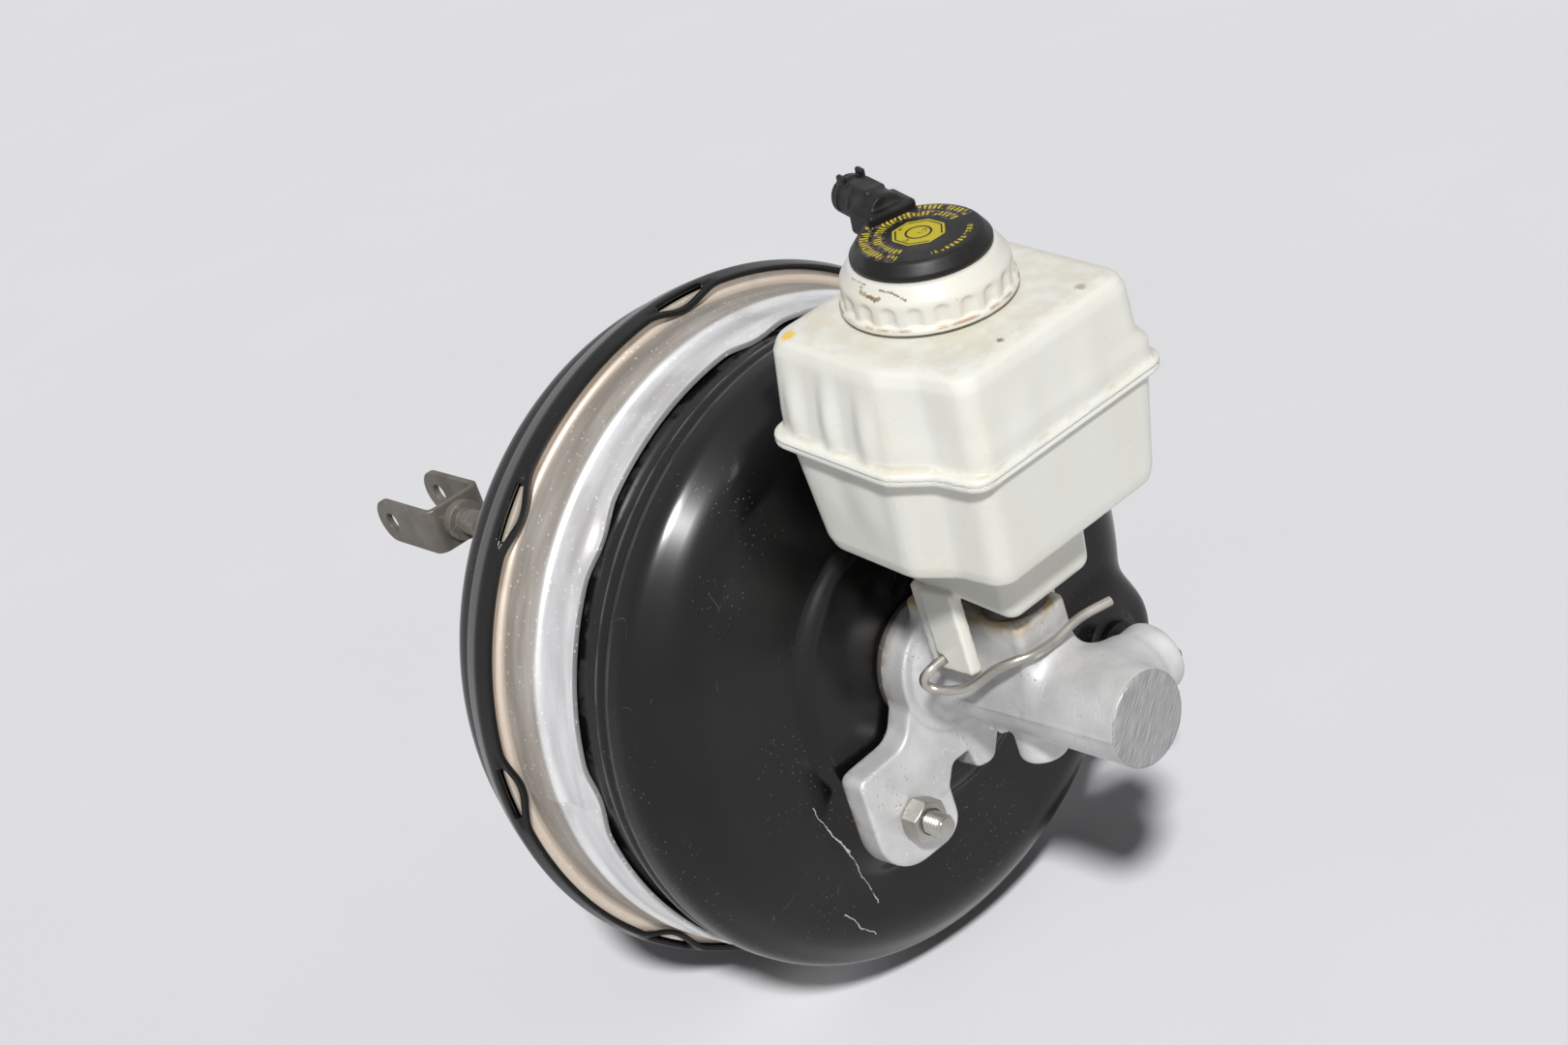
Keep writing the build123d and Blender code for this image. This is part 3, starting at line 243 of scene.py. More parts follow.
class Shade(Graph):
    """The node tree of one material."""

    def __init__(self, name: str) -> None:
        """Start an empty material that reads Object coordinates."""
        self.material = bpy.data.materials.new(name)
        self.material.use_nodes = True
        self.material.node_tree.nodes.clear()
        super().__init__(self.material.node_tree)
        self.point = self.node("ShaderNodeTexCoord").output("Object")
        self.x, self.y, self.z = self.split(self.point)

    def noise(self, scale: float, detail: float = 3, at: Value | None = None) -> Value:
        """Cloudy noise between zero and one, with so many waves a metre."""
        inputs = {"Vector": at or self.point, "Scale": scale, "Detail": detail}
        return self.node("ShaderNodeTexNoise", inputs=inputs)

    def cells(self, scale: float, at: Value | None = None) -> Value:
        """Distance to the nearest of scattered points, in cells."""
        return self.node("ShaderNodeTexVoronoi", inputs={"Vector": at or self.point, "Scale": scale})

    def blend(self, first: Value | Colour, second: Value | Colour, share: Term) -> Value:
        """A colour between two, where share one gives the second."""
        made = self.node("ShaderNodeMix", {"data_type": "RGBA"}, {0: share, 6: first, 7: second})
        return made.output(2)

    def layered(self, base: Value | Colour, *layers: tuple[Value | Colour, Term]) -> Value:
        """A base colour with marks laid over it in turn, each with its share."""
        for mark, share in layers:
            base = self.blend(base, mark, share)
        return base

    def patches(self, scale: float, detail: float, low: float, high: float) -> Value:
        """Soft patches of noise, rising from zero at low to one at high."""
        return self.fade(self.noise(scale, detail), low, high)

    def spots(self, scale: float, size: float, cover: float) -> Value:
        """Small scattered specks, clustered where a broad noise allows."""
        speck = self.fade(self.cells(scale), size, size * 0.5)
        return speck * self.patches(scale * 0.05, 2, cover, cover + 0.08)

    def hairline(self, scale: float, width: float, cover: float) -> Value:
        """Thin wandering scratches that come and go."""
        line = self.line(self.noise(scale, 2), 0.5, width, width * 0.4)
        return line * self.patches(scale * 1.7, 2, cover, cover + 0.05)

    def ragged(self, gap: Value, reach: float, scale: float, tear: float, core: float) -> Value:
        """A stain with a torn edge.

        Args:
            gap: Distance from the stain's middle in metres.
            reach: Reach of the stain in millimetres.
            scale: Waves a metre of the tear.
            tear: Depth of the tear, as a share of the reach.
            core: Full part of the stain, as a share of the reach.

        Returns:
            One in the stain and zero outside it.
        """
        torn = gap + (self.noise(scale, 3) - 0.5) * reach * MM * tear
        return self.fade(torn, reach * MM, reach * MM * core)

    def gap(self, place: Value, knots: Sequence[Point]) -> Value:
        """Distance of a place from a line through knots in millimetres.

        Args:
            place: The place, in metres.
            knots: Points of the line; one knot alone is a point.

        Returns:
            The distance in metres.
        """
        if len(knots) == 1:
            return self.vector("DISTANCE", place, tuple(c * MM for c in knots[0]), output=1)
        gaps = []
        for start, end in zip(knots, knots[1:]):
            span = tuple((e - s) * MM for s, e in zip(start, end))
            away = self.vector("SUBTRACT", place, tuple(c * MM for c in start))
            share = self.vector("DOT_PRODUCT", away, span, output=1) / sum(c * c for c in span)
            foot = self.scaled(span, self.least(self.most(share, 0.0), 1.0))
            gaps.append(self.vector("DISTANCE", away, foot, output=1))
        return self.least(*gaps)

    def finish(self, relief: Value | None, depth: float, sockets: dict) -> Material:
        """Close the tree with a Principled shader.

        Args:
            relief: Height of the surface, between zero and one.
            depth: Height in metres that one stands for.
            sockets: Values and links of the shader.

        Returns:
            The material.
        """
        if relief is not None:
            sockets["Normal"] = self.node("ShaderNodeBump", inputs={"Distance": depth, "Height": relief})
        shader = self.node("ShaderNodeBsdfPrincipled", inputs=sockets)
        self.node("ShaderNodeOutputMaterial", inputs={"Surface": shader})
        return self.material


def grey(level: float, warm: float = 0.0) -> Colour:
    """A grey of one level, made warmer or cooler."""
    return (level * (1 + warm), level, level * (1 - warm), 1.0)


# ---------------- finishes
@dataclass(frozen=True)
class Finish:
    """A finish whose colour, gloss and relief vary over the piece."""

    slot: Slot
    colour: Colour = (0.5, 0.5, 0.5, 1.0)
    rough: float = 0.4
    metal: float = 0.0
    grain: float = 900.0
    depth: float = 0.00004
    spread: float = 0.12
    wear: float = 0.25
    sockets: dict = field(default_factory=dict)

    def make(self) -> Material:
        """Build the material under the slot's name."""
        shade = Shade(self.slot.value)
        colour, rough, metal, relief = self.paint(shade)
        sockets = {"Base Color": colour, "Roughness": rough, "Metallic": metal, **self.sockets}
        return shade.finish(relief, self.depth, sockets)

    def toned(self, shade: Shade, low: float = 0.78, high: float = 1.18) -> Value:
        """The base colour, darker and lighter in clouds."""
        dark = tuple(c * low for c in self.colour[:3]) + (1.0,)
        light = tuple(min(c * high, 1.0) for c in self.colour[:3]) + (1.0,)
        return shade.blend(dark, light, shade.patches(self.grain * 0.08, 4, 0.3, 0.7))

    def paint(self, shade: Shade) -> Painted:
        """Colour, roughness, metalness and relief of the finish."""
        grain = shade.noise(self.grain, 4)
        wear_and_sheen = shade.hairline(self.grain * 0.06, 0.01, 0.5)
        colour = shade.blend(self.toned(shade), grey(0.5), wear_and_sheen * self.wear)
        uneven = (shade.noise(self.grain * 0.1, 3) - 0.5) * self.spread * 2
        return colour, self.rough + uneven + wear_and_sheen * 0.1, self.metal, grain - wear_and_sheen * 0.5


@dataclass(frozen=True)
class BlackPaint(Finish):
    """Gloss black paint with dust, handling marks and scratches."""

    scratches: tuple = (
        ((-58.6, -22.9), (-55.9, -32.3), (-49.8, -50.2), (-45.9, -68.8)),
        ((-60.7, -64.1), (-56.0, -71.5), (-50.2, -79.8)),
    )
    scratch_edge: float = 0.26 * MM
    scratch_core: float = 0.12 * MM
    wander: float = 6.0 * MM
    flange_edge: float = 105.5 * MM
    # Painted highlight lines on the bead ridges: place, half width and strength of each.
    bead_sheen_lines: tuple = ((115.3 * MM, 0.9 * MM, 1.0), (121.5 * MM, 0.6 * MM, 0.5))
    bead_sheen_colour: Colour = (0.17, 0.14, 0.115, 1.0)

    def scratch(self, shade: Shade) -> Value:
        """The long scratches on the face of the front shell."""
        across = shade.y + (shade.noise(130, 3) - 0.5) * self.wander
        place = shade.join(0.0, across, shade.z)
        lines = []
        for knots in self.scratches:
            gap = shade.gap(place, [(0.0, y, z) for y, z in knots])
            lines.append(shade.fade(gap, self.scratch_edge, self.scratch_core))
        on_front = shade.fade(shade.x, 100 * MM, 110 * MM)
        return shade.most(*lines) * on_front * shade.patches(240, 2, 0.36, 0.46)

    def paint(self, shade: Shade) -> Painted:
        """Black with grey marks where something touched it, and painted highlight lines on the bead ridges.
        """
        haze = shade.patches(16, 4, 0.42, 0.75)
        dust = shade.spots(520, 0.15, 0.52)
        hair = shade.hairline(34, 0.0024, 0.63)
        scratch = self.scratch(shade)
        edge = shade.line(shade.x, self.flange_edge, 3 * MM) * shade.patches(90, 3, 0.5, 0.6)
        marks = shade.most(dust * 0.35, hair * 0.22, edge * 0.08)
        # Painted highlight: brownish lines along the two bead ridges stand in for the lit ridges.
        wear_and_sheen: Term = 0.0
        for middle, half, strength in self.bead_sheen_lines:
            wear_and_sheen = shade.line(shade.x, middle, half, half / 3) * strength + wear_and_sheen
        wear_and_sheen = wear_and_sheen * shade.patches(70, 3, 0.34, 0.56)
        colour = shade.layered(
            self.toned(shade), (grey(0.10, 0.06), haze * 0.04), (grey(0.3, 0.03), marks),
            (self.bead_sheen_colour, wear_and_sheen * 0.5), (grey(0.5), scratch * 0.8),
        )
        rough = self.rough + haze * 0.09 + shade.noise(300, 3) * 0.05 + marks * 0.3
        relief = shade.noise(420, 2) * 0.35 - scratch * 0.6 + dust * 0.5
        return colour, rough, 0.0, relief


@dataclass(frozen=True)
class RolledAluminium(Finish):
    """Spun aluminium: a satin rear band and a bright, speckled front band."""

    bright_from: float = 85.6 * MM
    bright_full: float = 87.8 * MM
    # Span along x of the painted highlight on the flange's outer lip.
    lip: Flat = (72.4 * MM, 71.2 * MM)
    satin_dark: Colour = (0.38, 0.34, 0.295, 1.0)
    satin_light: Colour = (0.54, 0.505, 0.46, 1.0)
    lip_highlight_colour: Colour = (0.78, 0.67, 0.56, 1.0)
    stained: Colour = (0.26, 0.225, 0.18, 1.0)

    def drawn(self, shade: Shade, detail: float, across: float, along: float) -> Value:
        """Noise that is drawn out round the ring, with so many waves across and along it."""
        radius, around = shade.length(shade.y, shade.z), shade.math("ARCTAN2", shade.z, shade.y)
        return shade.noise(1.0, detail, at=shade.join(shade.x * across, radius * across, around * along))

    def paint(self, shade: Shade) -> Painted:
        """Lines run round the ring and stains lie on them; the outer lip has a painted highlight."""
        lines = self.drawn(shade, 4, 1500, 2.2)
        wide = self.drawn(shade, 3, 160, 3.0)
        bright = shade.fade(shade.x, self.bright_from, self.bright_full)
        speck = shade.spots(400, 0.21, 0.4)
        stain = shade.patches(34, 4, 0.52, 0.68)
        satin = shade.blend(self.satin_dark, self.satin_light, shade.fade(wide, 0.3, 0.7))
        # Painted highlight: a cream line along the flange's outer lip.
        satin = shade.blend(satin, self.lip_highlight_colour, shade.fade(shade.x, *self.lip) * 0.8)
        polished = shade.blend(grey(0.70), grey(0.90), shade.fade(wide, 0.3, 0.72))
        colour = shade.layered(
            satin, (polished, bright), (self.stained, stain * 0.3),
            (grey(0.9), speck * (bright * 0.45 + 0.35)),
        )
        rough = 0.46 - bright * 0.05 + (lines - 0.5) * 0.2 + speck * 0.2 + stain * 0.08
        metal = 0.5 + bright * 0.25 - stain * 0.1 - speck * 0.3
        return colour, rough, metal, lines * 0.6 + speck * 0.4 + wide * 0.3


@dataclass(frozen=True)
class CastAluminium(Finish):
    """Sand-grey casting with a cut end face, machined faces and dirt in the corners."""

    cut_face: Flat = (238.25 * MM, 238.55 * MM)
    tower_top: Flat = (24.5 * MM, 30.0 * MM)
    tower_front: Flat = (210 * MM, 205 * MM)
    flange_back: Flat = (151.5 * MM, 147.2 * MM)
    dirt: Colour = (0.30, 0.23, 0.16, 1.0)
    rust: Colour = (0.42, 0.27, 0.07, 1.0)

    def paint(self, shade: Shade) -> Painted:
        """Grain and pits, with brown dirt by the tower top and flange edge."""
        grain = shade.noise(1100, 5)
        pits = shade.fade(shade.cells(520), 0.2, 0.06) * shade.patches(60, 3, 0.5, 0.62)
        rub = shade.hairline(70, 0.008, 0.5)
        cut = shade.fade(shade.x, *self.cut_face)
        saw = shade.join(0.0, (shade.y + shade.z) * 90, (shade.y - shade.z) * 1900)
        stroke = shade.noise(1.0, 2, at=saw)
        tower = shade.fade(shade.z, *self.tower_top) * shade.fade(shade.x, *self.tower_front)
        rust = tower * shade.patches(210, 4, 0.36, 0.56)
        foot = shade.fade(shade.x, *self.flange_back) * shade.patches(130, 4, 0.36, 0.6)
        blotch = shade.patches(95, 4, 0.6, 0.72)
        mottle, sawn = shade.patches(48, 4, 0.3, 0.72), shade.fade(stroke, 0.3, 0.7)
        colour = shade.layered(
            grey(0.50), (grey(0.69, 0.01), mottle), (grey(0.24, 0.05), pits * 0.6),
            (self.dirt, shade.least(foot * 0.75 + blotch * 0.24, 1.0)), (self.rust, rust * 0.75),
            (grey(0.72), rub * 0.4), (shade.blend(grey(0.26), grey(0.46), sawn), cut),
        )
        rough = self.rough + (grain - 0.5) * 0.16 + rust * 0.2 - rub * 0.1 - cut * 0.08
        relief = (grain * 0.6 - pits * 1.2 - rub * 0.3) * (1 - cut) + stroke * cut * 1.4
        return colour, rough, self.metal - rust * 0.4, relief


@dataclass(frozen=True)
class Mark:
    """A stain on a point or along a line, in millimetres."""

    knots: tuple[Point, ...]
    reach: float
    colour: Colour


@dataclass(frozen=True)
class Seam:
    """Dirt along a moulded line at one height of the tank's own frame."""

    level: float
    half: float
    colour: Colour
    strength: float


@dataclass(frozen=True)
class MilkyPlastic(Finish):
    """Translucent moulded plastic, yellowed, with a few stains and specks."""

    tint: Colour = (0.74, 0.70, 0.56, 1.0)
    speckle: Colour = (0.25, 0.16, 0.08, 1.0)
    marks: tuple[Mark, ...] = ()
    seams: tuple[Seam, ...] = ()

    def marked(self, shade: Shade, colour: Value) -> Value:
        """The colour with its stains: blots on single points and fine streaks along lines."""
        for mark in self.marks:
            gap = shade.gap(shade.point, mark.knots)
            if len(mark.knots) == 1:
                share = shade.ragged(gap, mark.reach, 700, 0.9, 0.5) * 0.9
            else:
                share = shade.ragged(gap, mark.reach, 1500, 2.4, 0.2) * 0.85
            colour = shade.blend(colour, mark.colour, share)
        return colour

    def paint(self, shade: Shade) -> Painted:
        """Flow clouds, faint dirt and the named stains."""
        flow = shade.noise(1.0, 3, at=shade.join(shade.x * 55, shade.y * 55, shade.z * 14))
        grime = shade.patches(75, 5, 0.56, 0.75)
        speck = shade.spots(260, 0.07, 0.52)
        cloud = shade.fade(flow, 0.35, 0.72)
        colour = shade.blend(self.colour, self.tint, cloud * 0.45 + grime * 0.2)
        colour = self.marked(shade, shade.blend(colour, self.speckle, speck * 0.6))
        turn = math.radians(TANK_TILT)
        height = (shade.x - TANK_ORIGIN[0] * MM) * math.sin(turn)
        height = height + (shade.z - TANK_ORIGIN[2] * MM) * math.cos(turn)
        broken = shade.patches(170, 3, 0.38, 0.6)
        for seam in self.seams:
            share = shade.line(height, seam.level * MM, seam.half * MM, seam.half * MM * 0.3)
            colour = shade.blend(colour, seam.colour, share * broken * seam.strength)
        rough = self.rough + (shade.noise(120, 3) - 0.5) * 0.16 + grime * 0.12
        return colour, rough, 0.0, flow * 0.7 + shade.noise(700, 3) * 0.25


@dataclass(frozen=True)
class PrintedCap(Finish):
    """Black cap plastic with worn yellow ticks, arcs and an eight-sided mark."""

    ink: Colour = (0.52, 0.43, 0.03, 1.0)
    halo: Colour = (0.21, 0.15, 0.13, 1.0)
    badge_r: float = 7.4
    sides: int = 8

    def badge(self, shade: Shade, radius: Value, angle: Value, y: Value) -> Value:
        """The eight-sided mark with a ring and an open border left out of it."""
        corner = shade.math("PINGPONG", angle + math.pi, math.pi / self.sides) - 0.02
        side = radius * shade.math("COSINE", corner)
        border = (abs(side - 6.5) < 0.25) * (abs(y) > 2.5 * MM)
        return shade.most((side < self.badge_r) * (1 - (abs(radius - 3.6) < 0.35) - border), 0.0)

    def paint(self, shade: Shade) -> Painted:
        """Printing on the cap's top face, in polar places round its middle."""
        centre = tuple(c * MM for c in TANK_ORIGIN)
        turn = (0.0, math.radians(TANK_TILT), 0.0)
        inputs = {"Vector": shade.point, "Location": centre, "Rotation": turn}
        x, y, z = shade.split(shade.node("ShaderNodeMapping", {"vector_type": "TEXTURE"}, inputs))
        radius = shade.length(x, y) / MM
        angle = shade.math("ARCTAN2", y, x)
        top = shade.fade(z, 4.6 * MM, 4.9 * MM) * (z < 5.6 * MM)
        letters = shade.math("SINE", angle * 66) > -0.15
        fine = shade.math("SINE", angle * 54 + 1.2) > -0.1
        outer = (abs(radius - 15.4) < 1.25) * letters
        inner = (abs(radius - 11.6) < 1.15) * fine
        wide = shade.math("COSINE", angle - math.pi) > -0.35
        low = (shade.math("COSINE", angle - 0.12) > 0.78) * (abs(radius - 14.4) < 0.8) * fine
        ring = shade.most(shade.most(outer, inner) * wide, low) * shade.patches(420, 4, 0.36, 0.5)
        badge = self.badge(shade, radius, angle, y) * shade.patches(300, 4, 0.3, 0.4)
        ink = shade.most(ring, badge) * top
        halo = (abs(radius - 13.5) < 4.0) * wide * top * shade.patches(600, 3, 0.45, 0.6)
        dusty = shade.patches(60, 4, 0.5, 0.75)
        layers = ((self.halo, halo * 0.5), (grey(0.09, 0.05), dusty * 0.35), (self.ink, ink))
        rough = self.rough + (shade.noise(200, 3) - 0.5) * 0.2 + ink * 0.12
        relief = shade.noise(1400, 3) * 0.4 + ink * 0.4
        return shade.layered(self.toned(shade), *layers), rough, 0.0, relief


# ---------------- outlines and forms
def unit(vector: Array) -> Array:
    """The vector at length one."""
    return vector / max(float(np.linalg.norm(vector)), 1e-12)


def rounded(points: Knots, radii: Sequence[float], closed: bool = False, turn: float = 9.0) -> Array:
    """Walk a path whose corners are rounded.

    Args:
        points: Corners of the path.
        radii: One radius for each corner, or for each inner corner of an open path.
        closed: Whether the path returns to its start.
        turn: Largest turn in degrees between two made points.

    Returns:
        The points along the path.
    """
    knots = np.array(points, float)
    made: list[Array] = []
    for i, corner in enumerate(knots):
        if not closed and i in (0, len(knots) - 1):
            made.append(corner)
            continue
        radius = radii[i] if closed else radii[i - 1]
        before, after = knots[i - 1], knots[(i + 1) % len(knots)]
        back, ahead = unit(before - corner), unit(after - corner)
        half = math.acos(float(np.clip(back @ ahead, -1, 1))) / 2
        if radius <= 0 or half > math.pi / 2 - 1e-3:
            made.append(corner)
            continue
        room = 0.49 * min(np.linalg.norm(before - corner), np.linalg.norm(after - corner))
        reach = min(radius / math.tan(half), room)
        radius = reach * math.tan(half)
        middle = corner + unit(back + ahead) * (radius / math.sin(half))
        sweep = math.pi - 2 * half
        first, last = corner + back * reach - middle, corner + ahead * reach - middle
        steps = max(2, math.ceil(math.degrees(sweep) / turn))
        for share in np.linspace(0, 1, steps + 1):
            mixed = first * math.sin((1 - share) * sweep) + last * math.sin(share * sweep)
            made.append(middle + mixed / math.sin(sweep))
    return np.array(made)


def divided(path: Array, spacing: float) -> Array:
    """The same path with points no further apart than the spacing."""
    made = [path[:1]]
    for a, b in zip(path, path[1:]):
        steps = max(1, math.ceil(float(np.linalg.norm(b - a)) / spacing))
        made.append(a + (b - a) * (np.arange(1, steps + 1) / steps)[:, None])
    return np.vstack(made)


def loop_distance(u: Array, v: Array, loop: Array) -> Array:
    """Signed distance to a closed polygon, negative inside."""
    nearest = np.full(u.shape, 1e9)
    inside = np.zeros(u.shape, bool)
    for (ax, ay), (bx, by) in zip(loop, np.roll(loop, -1, axis=0)):
        dx, dy = bx - ax, by - ay
        span = dx * dx + dy * dy
        if span < 1e-12:
            continue
        share = np.clip(((u - ax) * dx + (v - ay) * dy) / span, 0, 1)
        nearest = np.minimum(nearest, (u - ax - share * dx) ** 2 + (v - ay - share * dy) ** 2)
        if dy != 0:
            crosses = ((ay > v) != (by > v)) & (u < dx * (v - ay) / dy + ax)
            inside ^= crosses
    return np.where(inside, -1, 1) * np.sqrt(nearest)


def mixed(table: Array, i: Array, j: Array, s: Array, t: Array, *level: Array) -> Array:
    """The table's value in cell i, j, straight between its corners."""
    a = table[(*level, i, j)] * (1 - s) + table[(*level, i + 1, j)] * s
    b = table[(*level, i, j + 1)] * (1 - s) + table[(*level, i + 1, j + 1)] * s
    return a * (1 - t) + b * t


class Outline:
    """Signed distance to flat closed loops, read from a table."""

    def __init__(self, *loops: Array, step: float = 0.4, margin: float = 9.0) -> None:
        """Fill the table over the loops and a margin round them."""
        knots = np.vstack(loops)
        self.step = step
        self.low = knots.min(0) - margin
        self.shape = np.ceil((knots.max(0) + margin - self.low) / step).astype(int) + 1
        u = self.low[0] + np.arange(self.shape[0])[:, None] * step
        v = self.low[1] + np.arange(self.shape[1])[None, :] * step
        u, v = np.broadcast_arrays(u, v)
        self.tables = np.stack([loop_distance(u, v, loop) for loop in loops])
        self.table = self.tables.min(0)

    def at(self, u: Array, v: Array) -> Array:
        """Distance at each point, straight between the table's values."""
        i, s, out_u = self.cell(u, 0)
        j, t, out_v = self.cell(v, 1)
        return mixed(self.table, i, j, s, t) + np.hypot(out_u, out_v)

    def cell(self, place: Array, axis: int) -> tuple[Array, Array, Array]:
        """Table cell, share of the way across it, and distance outside the table."""
        spot = (place - self.low[axis]) / self.step
        held = np.clip(spot, 0, self.shape[axis] - 1.001)
        index = held.astype(int)
        return index, held - index, (spot - held) * self.step


class Stack:
    """Signed distance to a form given by its outline at each height."""

    def __init__(self, levels: Sequence[Sequence[float]], outline: Callable[..., Array]) -> None:
        """Work out one outline table for every step of height.

        Args:
            levels: Sizes of the outline, each row ending with its height, from low to high.
            outline: Makes the loop from one row of sizes.
        """
        rows = np.array(levels, float)
        self.step = 0.8
        self.low = float(rows[0, -1])
        self.count = int(math.ceil((rows[-1, -1] - self.low) / self.step)) + 1
        loops = []
        for k in range(self.count):
            height = min(self.low + k * self.step, float(rows[-1, -1]))
            sizes = [np.interp(height, rows[:, -1], rows[:, c]) for c in range(rows.shape[1] - 1)]
            loops.append(outline(sizes))
        self.grid = Outline(*loops, step=self.step)

    def at(self, x: Array, y: Array, z: Array) -> Array:
        """Distance at each point, straight between neighbouring values."""
        i, s, out_u = self.grid.cell(x, 0)
        j, t, out_v = self.grid.cell(y, 1)
        spot = np.clip((z - self.low) / self.step, 0, self.count - 1.001)
        k = spot.astype(int)
        w = spot - k
        under = mixed(self.grid.tables, i, j, s, t, k)
        over = mixed(self.grid.tables, i, j, s, t, k + 1)
        return under * (1 - w) + over * w + np.hypot(out_u, out_v)


@dataclass
class Space:
    """Points, in millimetres, at which a form is measured."""

    x: Array
    y: Array
    z: Array

    def bar(self, start: Point, end: Point, radius: float, edge: float = 0.0) -> Array:
        """Signed distance to a round bar.

        Args:
            start: Middle of one end.
            end: Middle of the other end.
            radius: Radius of the bar.
            edge: Rounding of both ends.

        Returns:
            The distance in millimetres, negative inside.
        """
        a, span = np.array(start), np.array(end, float) - np.array(start)
        length = float(np.linalg.norm(span))
        d = span / length
        px, py, pz = self.x - a[0], self.y - a[1], self.z - a[2]
        along = px * d[0] + py * d[1] + pz * d[2]
        out = np.sqrt(np.maximum(px * px + py * py + pz * pz - along * along, 0)) - radius + edge
        over = np.abs(along - length / 2) - length / 2 + edge
        outside = np.hypot(np.maximum(out, 0), np.maximum(over, 0))
        return np.minimum(np.maximum(out, over), 0) + outside - edge

    def block(self, low: Point, high: Point, edge: float = 0.0) -> Array:
        """Signed distance to a box with rounded edges."""
        gaps = []
        for place, a, b in zip((self.x, self.y, self.z), low, high):
            gaps.append(np.abs(place - (a + b) / 2) - (b - a) / 2 + edge)
        outside = np.sqrt(sum(np.maximum(gap, 0) ** 2 for gap in gaps))
        return np.minimum(np.maximum.reduce(gaps), 0) + outside - edge

    def ball(self, centre: Point, radius: float) -> Array:
        """Signed distance to a ball."""
        a, b, c = centre
        return np.sqrt((self.x - a) ** 2 + (self.y - b) ** 2 + (self.z - c) ** 2) - radius


Form = Callable[[Space], Array]


def join(first: Array, second: Array, soft: float = 0.0) -> Array:
    """Both forms, run together over a soft fillet."""
    if soft <= 0:
        return np.minimum(first, second)
    near = np.maximum(soft - np.abs(first - second), 0) / soft
    return np.minimum(first, second) - near * near * soft / 4


def meet(first: Array, second: Array, soft: float = 0.0) -> Array:
    """What both forms share, with a soft edge."""
    return -join(-first, -second, soft)


def cut(form: Array, tool: Array, soft: float = 0.0) -> Array:
    """The form without the tool, with a soft edge."""
    return meet(form, -tool, soft)


def drilled(form: Array, p: Space, holes: Iterable[tuple[Point, Point, float, float]]) -> Array:
    """The form with round holes cut from it, each from start to end with a radius and a soft edge."""
    for start, end, radius, soft in holes:
        form = cut(form, p.bar(start, end, radius), soft)
    return form


def bump(value: Array, middle: float, half: float) -> Array:
    """A smooth hill of height one."""
    return np.cos(np.clip((value - middle) / half, -1, 1) * math.pi / 2) ** 2


def skin(form: Form, low: Point, high: Point, step: float) -> tuple[Array, Array]:
    """Find the surface of a form.

    Args:
        form: Signed distance, negative inside.
        low: Lowest corner of the searched box.
        high: Highest corner of the searched box.
        step: Size of the cells.

    Returns:
        Points of the surface and its four-sided faces.
    """
    axes = [np.arange(a, b + step, step) for a, b in zip(low, high)]
    slabs = []
    for begin in range(0, len(axes[0]), 16):
        grid = np.meshgrid(axes[0][begin:begin + 16], axes[1], axes[2], indexing="ij")
        slabs.append(form(Space(*grid)).astype(np.float32))
    values = np.concatenate(slabs)
    inside = values < 0
    count = np.zeros([n - 1 for n in inside.shape], np.int8)
    corners = [(i, j, k) for i in (0, 1) for j in (0, 1) for k in (0, 1)]
    nx, ny, nz = count.shape
    for i, j, k in corners:
        count += inside[i:nx + i, j:ny + j, k:nz + k]
    cells = np.argwhere((count > 0) & (count < 8))
    index = np.full(count.shape, -1, np.int64)
    index[tuple(cells.T)] = np.arange(len(cells))
    total, hits = np.zeros((len(cells), 3)), np.zeros(len(cells))
    for a in corners:
        for axis in range(3):
            if a[axis]:
                continue
            b = tuple(1 if n == axis else a[n] for n in range(3))
            va, vb = values[tuple((cells + a).T)], values[tuple((cells + b).T)]
            crossed = (va < 0) != (vb < 0)
            share = np.where(crossed, va / np.where(crossed, va - vb, 1), 0)
            spot = np.tile(np.array(a, float), (len(cells), 1))
            spot[:, axis] = share
            total += spot * crossed[:, None]
            hits += crossed
    points = (cells + total / hits[:, None]) * step + np.array([axis[0] for axis in axes])
    faces = []
    for axis in range(3):
        one, two = (axis + 1) % 3, (axis + 2) % 3
        ahead = tuple(slice(1, None) if n == axis else slice(None) for n in range(3))
        behind = tuple(slice(None, -1) if n == axis else slice(None) for n in range(3))
        edges = np.argwhere(inside[ahead] != inside[behind])
        edges = edges[(edges[:, one] > 0) & (edges[:, two] > 0)]
        edges = edges[(edges[:, one] < index.shape[one]) & (edges[:, two] < index.shape[two])]
        ring = []
        for back_one, back_two in ((0, 0), (1, 0), (1, 1), (0, 1)):
            cell = edges.copy()
            cell[:, one] -= back_one
            cell[:, two] -= back_two
            ring.append(index[tuple(cell.T)])
        quads = np.stack(ring, 1)
        flip = inside[tuple(edges.T)]
        quads[~flip] = quads[~flip][:, ::-1]
        faces.append(quads)
    quads = np.vstack(faces)
    quads = quads[(quads >= 0).all(1)]
    return settle(form, points, step), quads


def settle(form: Form, points: Array, step: float) -> Array:
    """Move points onto the surface of a form along its slope."""
    nudge = step * 0.15
    for _ in range(3):
        value = form(Space(*points.T))
        slope = np.empty_like(points)
        for axis in range(3):
            moved = points.copy()
            moved[:, axis] += nudge
            slope[:, axis] = (form(Space(*moved.T)) - value) / nudge
        size = np.maximum((slope ** 2).sum(1), 0.2)
        shift = slope * (value / size)[:, None]
        limit = np.maximum(np.linalg.norm(shift, axis=1) / (0.4 * step), 1)
        points = points - shift / limit[:, None]
    return points


